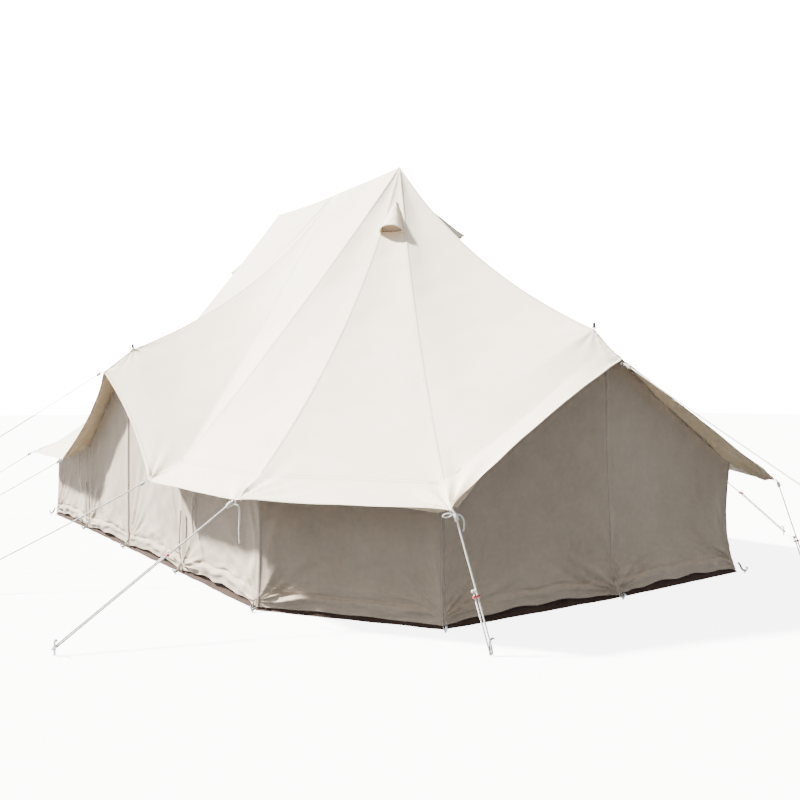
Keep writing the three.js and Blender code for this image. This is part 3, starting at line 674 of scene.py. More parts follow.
def cotton_canvas(name, light, dark, line=0.30):
    """Proofed cotton canvas: matt, plain woven, a little uneven in colour, with stitching and a painted
    shadow along each seam's edge.
    """
    material, tree, shader = new_material(name)
    thread = 0.003  # the real threads, 0.5 mm apart, are drawn coarser so that they show
    place = add_node(tree, "ShaderNodeUVMap", uv_map="metres")
    warp, weft = (
        add_node(
            tree,
            "ShaderNodeTexWave",
            {"Vector": place.outputs["UV"], "Scale": math.pi / (10 * thread), "Distortion": 0.6},
            bands_direction=direction,
        )
        for direction in ("X", "Y")
    )
    weave = add_node(
        tree, "ShaderNodeMath", {0: warp.outputs["Fac"], 1: weft.outputs["Fac"]}, operation="MULTIPLY"
    )
    space = add_node(tree, "ShaderNodeTexCoord")
    cloud = add_node(
        tree,
        "ShaderNodeTexNoise",
        {"Vector": space.outputs["Object"], "Scale": 1.6, "Detail": 6.0, "Roughness": 0.62},
    )
    slub_place = add_node(
        tree, "ShaderNodeMapping", {"Vector": place.outputs["UV"], "Scale": (34.0, 26.0, 1.0)}
    )
    slub = add_node(
        tree, "ShaderNodeTexNoise", {"Vector": slub_place.outputs["Vector"], "Scale": 1.0, "Detail": 3.0}
    )
    uneven = add_node(
        tree,
        "ShaderNodeMath",
        {0: slub.outputs["Fac"], 1: 0.25, 2: cloud.outputs["Fac"]},
        operation="MULTIPLY_ADD",
    )
    spread = add_node(
        tree, "ShaderNodeMapRange", {0: uneven.outputs[0], 1: 0.42, 2: 0.82, 3: 0.0, 4: 1.0}
    )
    base = add_node(tree, "ShaderNodeMixRGB", {0: spread.outputs[0], 1: colour(dark), 2: colour(light)})
    seam = add_node(tree, "ShaderNodeAttribute", attribute_name="seam")
    # Painted shadow: a darker line along each edge of a felled seam, as strong as line says.
    edge_off = add_node(
        tree, "ShaderNodeMath", {0: seam.outputs["Fac"], 1: SEAM_HALF}, operation="SUBTRACT"
    )
    edge_near = add_node(tree, "ShaderNodeMath", {0: edge_off.outputs[0]}, operation="ABSOLUTE")
    edge = add_node(
        tree, "ShaderNodeMapRange", {0: edge_near.outputs[0], 1: 0.0012, 2: 0.004, 3: line, 4: 0.0}
    )
    painted_seam_shadow = add_node(
        tree, "ShaderNodeMixRGB", {0: edge.outputs[0], 1: base.outputs[0], 2: colour("#8F887E")}
    )
    row_off = add_node(
        tree, "ShaderNodeMath", {0: seam.outputs["Fac"], 1: SEAM_HALF * 0.62}, operation="SUBTRACT"
    )
    row_near = add_node(tree, "ShaderNodeMath", {0: row_off.outputs[0]}, operation="ABSOLUTE")
    thread_row = add_node(
        tree, "ShaderNodeMapRange", {0: row_near.outputs[0], 1: 0.0006, 2: 0.0012, 3: 1.0, 4: 0.0}
    )
    uv_parts = add_node(tree, "ShaderNodeSeparateXYZ", {0: place.outputs["UV"]})
    stitch_pitch = add_node(
        tree, "ShaderNodeMath", {0: uv_parts.outputs["Y"], 1: 0.006}, operation="MODULO"
    )
    dash = add_node(tree, "ShaderNodeMath", {0: stitch_pitch.outputs[0], 1: 0.0042}, operation="LESS_THAN")
    stitch = add_node(
        tree, "ShaderNodeMath", {0: thread_row.outputs[0], 1: dash.outputs[0]}, operation="MULTIPLY"
    )
    stitched = add_node(
        tree, "ShaderNodeMixRGB", {0: stitch.outputs[0], 1: painted_seam_shadow.outputs[0], 2: colour("#D9D2C4")}
    )
    tree.links.new(stitched.outputs[0], shader.inputs["Base Color"])
    fine = add_node(
        tree, "ShaderNodeTexNoise", {"Vector": space.outputs["Object"], "Scale": 38.0, "Detail": 4.0}
    )
    weave_bump = add_node(
        tree, "ShaderNodeBump", {"Height": weave.outputs[0], "Strength": 0.30, "Distance": 0.0005}
    )
    crumple = add_node(
        tree,
        "ShaderNodeBump",
        {
            "Height": fine.outputs["Fac"],
            "Strength": 0.25,
            "Distance": 0.004,
            "Normal": weave_bump.outputs[0],
        },
    )
    stitch_bump = add_node(
        tree,
        "ShaderNodeBump",
        {"Height": stitch.outputs[0], "Strength": 0.7, "Distance": 0.0008, "Normal": crumple.outputs[0]},
    )
    tree.links.new(stitch_bump.outputs[0], shader.inputs["Normal"])
    shader.inputs["Roughness"].default_value = 0.92
    shader.inputs["Specular IOR Level"].default_value = 0.25
    shader.inputs["Sheen Weight"].default_value = 0.08
    return material


roof_outside = cotton_canvas("cream_cotton_canvas", "#F8ECD9", "#EFE1CB")
# Painted light: the inner face is the same canvas drawn a warmer tan, standing in for light shining through
# the canvas under the eaves and inside the hoods.
roof_inside_painted_through_light = cotton_canvas("cotton_canvas_inner_face_painted_through_light", "#F0DDB8", "#E2CDA4")

roof_cloth = SewnCloth()
for quarter in QUARTERS:
    roof_panels(roof_cloth, quarter)
roof_cloth.weld(lambda middle: np.array([0, 0, 1.0]) + 0 * middle)
roof_relief(roof_cloth)


def give_thickness(piece, thickness, inner=None):
    """Cloth gets its thickness on the side away from its outer face, and its own inner material."""
    solid = piece.modifiers.new("thickness", "SOLIDIFY")
    solid.thickness = thickness
    solid.offset = -1
    if inner:
        piece.data.materials.append(inner)
        solid.material_offset = 1
    return piece


roof = make_piece(
    "roof_canopy",
    roof_cloth.shape(),
    roof_outside,
    facts={"seam": roof_cloth.fact["stitched"]},
)
give_thickness(roof, CANVAS, roof_inside_painted_through_light)
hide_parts(*(f"roof_{quarter}" for quarter in QUARTERS))

# ---------- Vent hoods ----------
# A half cone of the same canvas near each top corner, stitched down along its two long edges. Its
# mouth faces down the slope and is closed by a brown net.

HOOD_START = 0.400  # down the slope from the top of the pole
HOOD_END = 0.765
HOOD_HALF_WIDTH = 0.096
HOOD_RISE = 0.092
HOOD_CANVAS = 0.0016
NET_PLACE = 0.90  # how far down the hood its net is
NET_THICKNESS = 0.0006


def down_line(points, distance):
    lengths = length_along(points)
    return np.array([np.interp(distance, lengths, points[:, i]) for i in range(3)])


def hood_frame(quarter):
    rows = roof_rows()
    apex = np.array([POLE_X, 0, APEX_HEIGHT])
    end_corner = seam_to_corner(apex, END_CORNER, SEAM_SAG, rows)
    shoulder = seam_to_corner(apex, SHOULDER_CORNER, SEAM_SAG, rows)
    middle = (end_corner + shoulder) / 2
    across = unit(end_corner[12] - shoulder[12])
    start = down_line(middle, HOOD_START)
    down = down_line(middle, HOOD_END) - start
    rise = unit(np.cross(down, across))
    rise = rise if rise[2] > 0 else -rise
    return tuple(in_quarter(v, quarter) for v in (start, down, across, rise))


def hood_surface(frame_of_hood, down_share, angle, shrink=0.0):
    """Points of the hood at shares of its length and angles round it, from 0 to pi."""
    start, down, across, rise = frame_of_hood
    size = np.maximum(down_share, 0.05) ** 0.92
    flat = (HOOD_HALF_WIDTH * size - shrink) * np.cos(angle)
    high = (HOOD_RISE * size - shrink) * np.sin(angle) ** 0.85
    skirt = np.where((angle <= 0) | (angle >= math.pi), -0.022, 0.0)
    sag = 0.006 * np.sin(math.pi * down_share) * np.sin(angle)
    return (
        start
        + down * down_share[..., None]
        + across * flat[..., None]
        + rise * (np.nan_to_num(high) + skirt + 0.003 - sag)[..., None]
    )


def brown_net():
    """Woven polyester insect net: a fine brown grid, drawn here at 4 mm."""
    material, tree, shader = new_material("woven_insect_net")
    mesh_size = 0.004
    place = add_node(tree, "ShaderNodeUVMap", uv_map="metres")
    lines = [
        add_node(
            tree,
            "ShaderNodeTexWave",
            {"Vector": place.outputs["UV"], "Scale": math.pi / (10 * mesh_size)},
            bands_direction=direction,
        )
        for direction in ("X", "Y")
    ]
    grid = add_node(
        tree,
        "ShaderNodeMath",
        {0: lines[0].outputs["Fac"], 1: lines[1].outputs["Fac"]},
        operation="MAXIMUM",
    )
    shade = add_node(
        tree, "ShaderNodeMixRGB", {0: grid.outputs[0], 1: colour("#4E4032"), 2: colour("#94806A")}
    )
    tree.links.new(shade.outputs[0], shader.inputs["Base Color"])
    shader.inputs["Roughness"].default_value = 0.7
    return material


net = brown_net()
for quarter in QUARTERS:
    hood_place = hood_frame(quarter)
    start, down, across, rise = hood_place
    angles = np.concatenate([[-0.001], np.linspace(0, math.pi, 29), [math.pi + 0.001]])
    shares = np.concatenate([np.linspace(0, 0.94, 30), [0.955, 0.96, 1.0]])
    share_grid, angle_grid = np.meshgrid(shares, angles, indexing="ij")
    points = hood_surface(hood_place, share_grid, np.clip(angle_grid, -0.001, math.pi + 0.001))
    hood_cloth = SewnCloth()
    length = np.linalg.norm(down)
    side_off = np.minimum(angle_grid, math.pi - angle_grid) * HOOD_HALF_WIDTH * np.maximum(share_grid, 0.05)
    hood_cloth.panel(
        points,
        angle_grid * HOOD_HALF_WIDTH,
        share_grid * length,
        seam=np.minimum(np.maximum(side_off, 0), (1 - share_grid) * length),
        share=share_grid,
        angle=angle_grid,
    )
    hood_cloth.weld(lambda middle: middle - (start + down * 0.5) + rise * 0.02)
    hem = np.clip((hood_cloth.fact["share"] - 0.95) / 0.01, 0, 1)
    crease = 0.0022 * wander(hood_cloth.at, 0.10, 23) * np.sin(np.clip(hood_cloth.fact["angle"], 0, math.pi))
    hood_cloth.at = hood_cloth.at + hood_cloth.normal * (0.0022 * hem + crease)[:, None]
    name = f"vent_hood_{quarter}"
    seams = {"seam": hood_cloth.fact["seam"]}
    hood = make_piece(f"{name}_cloth", hood_cloth.shape(), roof_outside, facts=seams)
    give_thickness(hood, HOOD_CANVAS, roof_inside_painted_through_light)
    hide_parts(name)
    reach, turn = np.meshgrid(np.linspace(0.02, 1.0, 9), np.linspace(0, math.pi, 25), indexing="ij")
    depth = np.full_like(turn, NET_PLACE)
    rim = hood_surface(hood_place, depth, turn, shrink=0.003)
    root = hood_surface(hood_place, depth, np.full_like(turn, math.pi / 2), shrink=HOOD_RISE)
    net_points = root * (1 - reach[..., None]) + rim * reach[..., None]
    net_cloth = SewnCloth()
    net_cloth.panel(
        net_points,
        HOOD_HALF_WIDTH * reach * np.cos(turn),
        HOOD_RISE * reach * np.sin(turn),
        seam=np.ones_like(turn),
    )
    net_cloth.weld(lambda middle: middle * 0 + down)
    net_piece = make_piece(f"vent_net_{quarter}", net_cloth.shape(), net)
    give_thickness(net_piece, NET_THICKNESS)

# ---------- Groundsheet ----------
# A tub of brown woven polyethylene with a thin coating. It lies on the ground and turns up inside
# the foot of the wall, where a narrow strip of it shows below the canvas.

TUB_RISE = 0.085
TUB_OUT = 0.006  # how far outside the foot of the wall it turns up
TUB_IN = -0.080  # how far inside it the turned-up edge ends
TUB_THICKNESS = 0.0012
END_MIDDLE = (3.262, 0.0)
# The rings of the floor, as shares of the way out to its edge, and then those of its turned-up edge.
FLOOR_SHARES = (0.0, 0.12, 0.24, 0.36, 0.48, 0.6, 0.7, 0.8, 0.88, 0.94, 0.975)
UPTURN_SHARES = (0.12, 0.3, 0.5, 0.7, 0.85, 1.0)


def wall_plan():
    """The corners of the wall's foot all round, from the right-hand end, anticlockwise."""
    back_right = [END_CORNER, SHOULDER_CORNER, DOOR_CORNER]
    back_left = [(-x, y) for x, y in back_right[::-1]]
    left = [(-END_MIDDLE[0], 0.0)]
    front_left = [(x, -y) for x, y in back_left[::-1]]
    front_right = [(x, -y) for x, y in back_right[::-1]]
    return [END_MIDDLE, *back_right, *back_left, *left, *front_left, *front_right]


def along_plan(step):
    """Points along the wall's foot, with their level outward direction and place in their side."""
    corners = [np.array(c) for c in wall_plan()]
    spots, outs, places = [], [], []
    for a, b in zip(corners, corners[1:] + corners[:1]):
        count = int(np.linalg.norm(b - a) / step)
        for i in range(count):
            share = i / count
            spot = a + (b - a) * share
            spots.append(spot)
            outs.append(outward(a)[:2] * (1 - share) + outward(b)[:2] * share)
            places.append(share)
    return np.array(spots), np.array(outs), np.array(places)


def woven_polyethylene():
    """Coated woven polyethylene: brown, with flat crossing tapes and a dull plastic shine."""
    material, tree, shader = new_material("woven_polyethylene_sheet")
    tape = 0.006  # the real tapes are 2 mm wide, and are drawn wider so that they show
    place = add_node(tree, "ShaderNodeUVMap", uv_map="metres")
    check = add_node(tree, "ShaderNodeTexChecker", {"Vector": place.outputs["UV"], "Scale": 1 / tape})
    space = add_node(tree, "ShaderNodeTexCoord")
    dust = add_node(
        tree,
        "ShaderNodeTexNoise",
        {"Vector": space.outputs["Object"], "Scale": 7.0, "Detail": 6.0, "Roughness": 0.7},
    )
    tone = add_node(
        tree, "ShaderNodeMixRGB", {0: dust.outputs["Fac"], 1: colour("#2B201A"), 2: colour("#4B3930")}
    )
    shaded = add_node(
        tree,
        "ShaderNodeMixRGB",
        {0: 0.12, 1: tone.outputs[0], 2: check.outputs["Color"]},
        blend_type="MULTIPLY",
    )
    bump = add_node(
        tree, "ShaderNodeBump", {"Height": check.outputs["Fac"], "Strength": 0.25, "Distance": 0.0006}
    )
    crinkle = add_node(
        tree,
        "ShaderNodeBump",
        {"Height": dust.outputs["Fac"], "Strength": 0.5, "Distance": 0.012, "Normal": bump.outputs[0]},
    )
    tree.links.new(shaded.outputs[0], shader.inputs["Base Color"])
    tree.links.new(crinkle.outputs[0], shader.inputs["Normal"])
    shader.inputs["Roughness"].default_value = 0.8
    shader.inputs["Specular IOR Level"].default_value = 0.12
    return material


tub_material = woven_polyethylene()


def groundsheet():
    """The sheet's rings of points, from its middle out and up."""
    spots, outs, places = along_plan(0.02)
    count = len(spots)
    rings = []
    for share in FLOOR_SHARES:
        ring = np.zeros((count, 3))
        spine = np.clip(spots[:, 0], -POLE_X, POLE_X)
        start = np.stack([spine * 0.98, np.zeros(count)], 1)
        ring[:, :2] = start + (spots - start) * share
        bump = 0.0035 * (1 + wander(ring, 0.35, 31)) * min(1.0, (1 - share) * 12)
        ring[:, 2] = 0.0022 + np.clip(bump, 0, 0.01)
        rings.append(ring)
    edge = over_ring(spots, outs, TUB_OUT + 0.003 * wander(np.c_[spots, 0 * places], 0.2, 33), 0.002)
    rings.append(edge)
    for share in UPTURN_SHARES:
        out = TUB_OUT * (1 - share) + TUB_IN * share
        wave = 0.004 * math.sin(math.pi * share) * wander(np.c_[spots, 0 * places + share * 0.1], 0.13, 35)
        rings.append(over_ring(spots, outs, out + wave, TUB_RISE * share))
    return rings


def over_ring(spots, outs, out, z):
    out = np.broadcast_to(out, (len(spots),))
    return np.c_[spots + outs * out[:, None], np.full(len(spots), z)]


tub_rings = np.array(groundsheet())
tub_rings = np.concatenate([tub_rings, tub_rings[:, :1]], axis=1)
tub_cloth = SewnCloth()
across = np.broadcast_to(length_along(tub_rings[len(FLOOR_SHARES)])[None], tub_rings.shape[:2])
along = np.linalg.norm(tub_rings[..., :2], axis=-1) + tub_rings[..., 2]
tub_cloth.panel(tub_rings, across, along, seam=np.ones(tub_rings.shape[:2]))
tub_cloth.weld(lambda middle: np.c_[middle[:, :2] * (middle[:, 2:] > 0.004), 0.02 + 0 * middle[:, 2]])
tub = make_piece("groundsheet_tub", tub_cloth.shape(), tub_material)
give_thickness(tub, TUB_THICKNESS)
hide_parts("groundsheet")

# ---------- Poles and A-frames ----------
# Galvanised steel tube: two centre poles, each in two halves, a ridge pole between their tops,
# and four A-frames whose spikes come through the roof at the ends and over the doors.


def galvanised_steel():
    """Hot-dip galvanised steel tube: grey, with a faint cloudy spangle."""
    material, tree, shader = new_material("galvanised_steel_tube")
    space = add_node(tree, "ShaderNodeTexCoord")
    spangle = add_node(tree, "ShaderNodeTexVoronoi", {"Vector": space.outputs["Object"], "Scale": 110.0})
    cloud = add_node(
        tree, "ShaderNodeTexNoise", {"Vector": space.outputs["Object"], "Scale": 14.0, "Detail": 5.0}
    )
    tone = add_node(
        tree,
        "ShaderNodeMixRGB",
        {0: spangle.outputs["Distance"], 1: colour("#9DA0A2"), 2: colour("#C3C6C8")},
    )
    dulled = add_node(
        tree, "ShaderNodeMixRGB", {0: cloud.outputs["Fac"], 1: tone.outputs[0], 2: colour("#8D9193")}
    )
    rough = add_node(
        tree, "ShaderNodeMapRange", {0: cloud.outputs["Fac"], 1: 0.3, 2: 0.7, 3: 0.32, 4: 0.55}
    )
    tree.links.new(dulled.outputs[0], shader.inputs["Base Color"])
    tree.links.new(rough.outputs[0], shader.inputs["Roughness"])
    shader.inputs["Metallic"].default_value = 1.0
    return material


steel_tube = galvanised_steel()
for node in sorted(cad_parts):
    if node.startswith(("centre_pole", "ridge_pole", "end_frame", "door_frame")):
        tube_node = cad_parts[node]
        tube_node.data.materials.clear()
        tube_node.data.materials.append(steel_tube)

# ---------- Walls ----------
# Low walls of the same canvas, sewn on under the eave and pegged down at every corner. They hang
# loose between their seams, and crease from each peg loop. A doubled hem runs along the foot.

HEM_BOTTOM = 0.016  # foot of the canvas at a peg
HEM_LIFT = 0.030  # how much higher it hangs between two pegs
WALL_HEAD = WALL_TOP - 0.005
CORNER_BOW = {END_CORNER: 0.045, SHOULDER_CORNER: 0.012, DOOR_CORNER: 0.0}
# The wall is pegged down at every corner and at the middle of each end and each door.
PEG_SPOTS = [*wall_plan(), (0.0, DOOR_CORNER[1]), (0.0, -DOOR_CORNER[1])]
PEG_LOOP_TOP = 0.05  # where the creases of the wall run together at a peg loop

# Painted shade: both faces of the wall are the roof's canvas drawn darker, for the shade under the eaves.
# Their seam edges get a stronger painted shadow.
wall_canvas_painted_shade = cotton_canvas("cotton_canvas_wall", "#BFB09E", "#AD9E8B", line=0.45)
wall_inside_painted_shade = cotton_canvas("cotton_canvas_wall_inner_face", "#C9BCA2", "#BCAE93")


def corner_line(foot, heights):
    """The seam up a corner of the wall, which leans and bows in."""
    share = heights / WALL_TOP
    lean = LEANS[foot] * share - CORNER_BOW[foot] * np.sin(math.pi * share**0.75)
    return np.c_[np.tile(foot, (len(heights), 1)), heights] + outward(foot) * lean[:, None]


def fan(points, peg, reach, count, depth, seed):
    """Creases that fan up from a peg loop across the wall on both sides of it."""
    away = points - peg
    level = np.linalg.norm(away[:, :2], axis=1)
    distance = np.hypot(level, away[:, 2])
    angle = np.arctan2(away[:, 2], level)
    uneven = wander(np.stack([angle * 1.3, distance, level], 1), 0.8, seed)
    fold = 1 - np.abs(np.sin(angle * count + uneven * 1.5)) * 2
    fade = np.exp(-((distance / reach) ** 1.3)) * (1 - np.exp(-distance / 0.03))
    return depth * fold * fade


def wall_relief(cloth, free):
    """Moves the wall's points as the hanging cloth does. free is 0 where it meets another piece."""
    at, fact = cloth.at, cloth.fact
    height = np.clip(at[:, 2] / WALL_TOP, 0, 1)
    low = np.clip((0.30 - at[:, 2]) / 0.25, 0, 1)
    lift = -fact["hollow"]
    lift += 0.0060 * wander(at * [1, 1, 0.35], 0.42, 41) * np.sin(math.pi * np.clip(height, 0.05, 0.95))
    lift += 0.0020 * wander(at, 0.16, 43)
    lift += 0.0070 * low * wander(at * [1, 1, 1.8], 0.26, 45)
    lift += 0.0022 * low * wander(at * [1, 1, 2.6], 0.07, 47)
    for number, spot in enumerate(PEG_SPOTS):
        lift += fan(at, over(spot, PEG_LOOP_TOP), 0.42, 8.0, 0.0130, 51 + number)
    off = fact["seam"]
    seam_width = np.clip((SEAM_HALF * 1.15 - off) / (SEAM_HALF * 0.25), 0, 1)
    over_hem = at[:, 2] - fact["foot"]
    hem = np.clip((0.040 - over_hem) / 0.012, 0, 1)
    roll = np.exp(-(((over_hem - 0.055) / 0.022) ** 2))
    lift = lift * free + 0.0015 * seam_width + 0.0020 * hem + 0.013 * free * roll
    tuck = np.exp(-(((over_hem - 0.080) / 0.009) ** 2))
    lift -= 0.012 * free * tuck * (0.6 + 0.4 * wander(at * [1, 1, 0.2], 0.3, 49))
    least = np.interp(at[:, 2], [0.012, 0.05, 0.10, 0.25], [0.0, -0.006, -0.016, -0.2])
    cloth.at = at + cloth.normal * np.maximum(lift, least * free)[:, None]


def wall_rows():
    return np.concatenate([np.linspace(1, 0.20, 44)[:-1], np.linspace(0.20, 0, 46)])


def wall_panel(cloth, left, right, columns, hollow, quarter, lift=HEM_LIFT, head_sag=(0, 0, 0)):
    """A panel of wall between two upright lines, both given by their row from the head down."""
    rows = wall_rows()
    width = np.linalg.norm(right - left, axis=1)
    share = shares_across(width, columns, SEAM_HALF)
    points = left[:, None] * (1 - share[..., None]) + right[:, None] * share[..., None]
    foot = HEM_BOTTOM + lift * np.sin(math.pi * share) ** 0.7
    foot = foot + lift * 0.25 * np.sin(share * 23.0) * np.sin(math.pi * share)
    points += np.array(head_sag) * (4 * share * (1 - share) * rows[:, None] ** 3)[..., None]
    points[..., 2] += (foot - HEM_BOTTOM) * (1 - rows[:, None]) ** 2
    along = np.broadcast_to(length_along(left)[:, None], share.shape)
    off = np.minimum(share, 1 - share) * width[:, None]
    depth = hollow * np.sin(math.pi * share) * np.sin(math.pi * rows[:, None])
    cloth.panel(in_quarter(points, quarter), share * width[:, None], along, seam=off, hollow=depth, foot=foot)


def upright(foot):
    """The line up a corner, by row from the wall's head down to its hem."""
    heights = HEM_BOTTOM + (WALL_HEAD - HEM_BOTTOM) * wall_rows()
    return corner_line(foot, heights)


for quarter in QUARTERS:
    cloth = SewnCloth()
    wall_panel(cloth, upright(DOOR_CORNER), upright(SHOULDER_CORNER), 52, 0.010, quarter, 0.034)
    wall_panel(cloth, upright(SHOULDER_CORNER), upright(END_CORNER), 46, 0.014, quarter, 0.008)
    cloth.weld(lambda middle: middle * [1, 1, 0])
    ends = np.minimum(
        np.linalg.norm((cloth.at - over(in_quarter(DOOR_CORNER, quarter), 0)) * [1, 1, 0], axis=1),
        np.linalg.norm((cloth.at - over(in_quarter(END_CORNER, quarter), 0)) * [1, 1, 0], axis=1) - 0.04,
    )
    shoulder = over(in_quarter(SHOULDER_CORNER, quarter), 0)
    from_shoulder = np.linalg.norm((cloth.at - shoulder) * [1, 1, 0], axis=1)
    wall_relief(cloth, np.clip(ends / 0.08, 0, 1) * np.clip(from_shoulder / 0.10, 0.15, 1))
    name = f"wall_{quarter}"
    seams = {"seam": cloth.fact["seam"]}
    wall = make_piece(f"{name}_side", cloth.shape(), wall_canvas_painted_shade, facts=seams)
    give_thickness(wall, CANVAS, wall_inside_painted_shade)
    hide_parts(name)

for side, sign in (("right", 1), ("left", -1)):
    cloth = SewnCloth()
    rows = wall_rows()
    peak = END_PEAK + [0, 0, -0.010]
    foot = over(END_MIDDLE, HEM_BOTTOM)
    middle_line = foot + (peak - foot) * rows[:, None]
    middle_line[:, 0] -= 0.020 * np.sin(math.pi * rows)
    for quarter in ("back", "front"):
        wall_panel(
            cloth, middle_line, upright(END_CORNER), 56, 0.030, f"{quarter}_{side}", head_sag=END_WALL_SAG
        )
    cloth.weld(lambda middle: middle * [1, 0.2, 0])
    corner_gap = np.abs(np.abs(cloth.at[:, 1]) - END_CORNER[1])
    wall_relief(cloth, np.clip(corner_gap / 0.08, 0, 1))
    name = f"end_wall_{side}"
    seams = {"seam": cloth.fact["seam"]}
    wall = make_piece(f"{name}_cloth", cloth.shape(), wall_canvas_painted_shade, facts=seams)
    give_thickness(wall, CANVAS, wall_inside_painted_shade)
    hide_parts(name)

# ---------- Door walls and flaps ----------
# Each door gable is two canvas halves that meet at a zip in the middle. The part inside a slanting
# fold is the door flap, which swings out and ties back; here both halves are drawn closed, with no bend at
# the fold.

HINGE_FOOT = np.array([1.100, DOOR_CORNER[1], 0.010])
HINGE_HEAD = np.array([0.012, DOOR_CORNER[1], 1.400])
ZIP_HALF = 0.005  # half the gap that the zip closes
FOLD_HALF = 0.03  # half the width of the band across the fold


def door_half(quarter):
    rows = wall_rows()
    columns = np.concatenate([np.linspace(ZIP_HALF, 0.05, 4), np.linspace(0.05, DOOR_CORNER[0], 58)[1:]])
    x = np.broadcast_to(columns[None], (len(rows), len(columns)))
    share = x / DOOR_CORNER[0]
    head = DOOR_PEAK[2] - 0.006 + (WALL_HEAD - DOOR_PEAK[2] + 0.006) * share
    foot = HEM_BOTTOM + HEM_LIFT * np.sin(math.pi * share) ** 0.7
    foot = foot + 0.006 * np.sin(share * 19) * np.sin(math.pi * share)
    z = foot + (head - foot) * rows[:, None]
    points = np.stack([x, np.full_like(x, DOOR_CORNER[1]), z], -1)
    cloth = SewnCloth()
    depth = 0.012 * np.sin(math.pi * share) * np.sin(math.pi * rows[:, None])
    off = np.minimum(DOOR_CORNER[0] - x, np.abs(x - 0.033))
    cloth.panel(in_quarter(points, quarter), x, head - z, seam=off, hollow=depth, foot=foot)
    cloth.weld(lambda middle: middle * [0, 1, 0])
    inner = np.abs(cloth.at[:, 0])
    free = np.clip((inner - 0.02) / 0.10, 0, 1) * np.clip((DOOR_CORNER[0] - inner) / 0.08, 0, 1)
    wall_relief(cloth, free)
    return cloth


def across_fold(quarter, reach):
    """Two points, on the wall and on the flap, with the slanting fold halfway between them."""
    foot, head = in_quarter(HINGE_FOOT, quarter), in_quarter(HINGE_HEAD, quarter)
    slope = unit(head - foot)
    middle = (foot + head) / 2
    side = unit(np.cross(slope, [0, 1.0, 0]))
    if side[2] > 0:
        side = -side
    return middle - side * reach, middle + side * reach


for quarter in QUARTERS:
    cloth = door_half(quarter)
    seams = {"seam": cloth.fact["seam"]}
    half = make_piece(f"door_half_{quarter}", cloth.shape(), wall_canvas_painted_shade, None, seams)
    give_thickness(half, CANVAS, wall_inside_painted_shade)
    start, end = across_fold(quarter, FOLD_HALF)
    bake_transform(half)
    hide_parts(f"door_flap_{quarter}")

# ---------- Zips ----------
# A coil zip closes each door. Its two brown tapes are sewn to the free edges of the flaps, with a
# storm strip over one of them, and its slider has a pull on a loop.

ZIP_TAPE = 0.016  # width of one tape
ZIP_FOOT = 0.060
ZIP_HEAD = 1.400


def ribbon(route, sides, width, thickness):
    """A flat strap along a route. sides are the directions across it, one for each point."""
    route = np.array(route, float)
    sides = np.broadcast_to(np.array(sides, float), route.shape)
    tangents = np.gradient(route, axis=0)
    tangents /= np.linalg.norm(tangents, axis=1)[:, None]
    sides = sides - tangents * np.einsum("ij,ij->i", sides, tangents)[:, None]
    sides /= np.linalg.norm(sides, axis=1)[:, None]
    tops = np.cross(tangents, sides)
    lengths = length_along(route)
    outline = [(-1, -1), (-0.9, 1), (0.9, 1), (1, -1)]
    rings = np.stack(
        [route + sides * (a * width / 2) + tops * (b * thickness / 2) for a, b in outline], axis=1
    )
    points = rings.reshape(-1, 3)
    faces, uvs = [], []
    places = [-width / 2, -width / 2, width / 2, width / 2]
    for i in range(len(route) - 1):
        for k in range(4):
            n = (k + 1) % 4
            faces.append((i * 4 + k, i * 4 + n, i * 4 + 4 + n, i * 4 + 4 + k))
            uvs += [(places[k], lengths[i]), (places[n], lengths[i])]
            uvs += [(places[n], lengths[i + 1]), (places[k], lengths[i + 1])]
    last = (len(route) - 1) * 4
    faces += [(3, 2, 1, 0), (last, last + 1, last + 2, last + 3)]
    uvs += [(0, 0)] * 8
    return points, faces, uvs


def woven_webbing(name, light, dark, spacing=0.0022):
    """Woven polyester webbing: close ribs across the strap, a little worn."""
    material, tree, shader = new_material(name)
    place = add_node(tree, "ShaderNodeUVMap", uv_map="metres")
    ribs = add_node(
        tree,
        "ShaderNodeTexWave",
        {"Vector": place.outputs["UV"], "Scale": math.pi / (10 * spacing), "Distortion": 0.3},
        bands_direction="Y",
    )
    space = add_node(tree, "ShaderNodeTexCoord")
    wear = add_node(
        tree, "ShaderNodeTexNoise", {"Vector": space.outputs["Object"], "Scale": 24.0, "Detail": 4.0}
    )
    tone = add_node(tree, "ShaderNodeMixRGB", {0: wear.outputs["Fac"], 1: colour(dark), 2: colour(light)})
    ribbed = add_node(
        tree, "ShaderNodeMixRGB", {0: ribs.outputs["Fac"], 1: colour(dark), 2: tone.outputs[0]}
    )
    bump = add_node(
        tree, "ShaderNodeBump", {"Height": ribs.outputs["Fac"], "Strength": 0.5, "Distance": 0.0005}
    )
    tree.links.new(ribbed.outputs[0], shader.inputs["Base Color"])
    tree.links.new(bump.outputs[0], shader.inputs["Normal"])
    shader.inputs["Roughness"].default_value = 0.8
    return material


brown_webbing = woven_webbing("brown_polyester_webbing", "#5A4436", "#3E2E24")
pale_webbing = woven_webbing("undyed_polyester_webbing", "#CFC8BB", "#A79F91")


def coated_zinc():
    """Die-cast zinc with a bronze coat: smooth, and worn brighter in places."""
    material, tree, shader = new_material("die_cast_zinc_bronze_coat")
    space = add_node(tree, "ShaderNodeTexCoord")
    wear = add_node(
        tree, "ShaderNodeTexNoise", {"Vector": space.outputs["Object"], "Scale": 160.0, "Detail": 4.0}
    )
    tone = add_node(
        tree, "ShaderNodeMixRGB", {0: wear.outputs["Fac"], 1: colour("#5B4534"), 2: colour("#9B8468")}
    )
    tree.links.new(tone.outputs[0], shader.inputs["Base Color"])
    shader.inputs["Metallic"].default_value = 1.0
    shader.inputs["Roughness"].default_value = 0.38
    return material


zip_metal = coated_zinc()


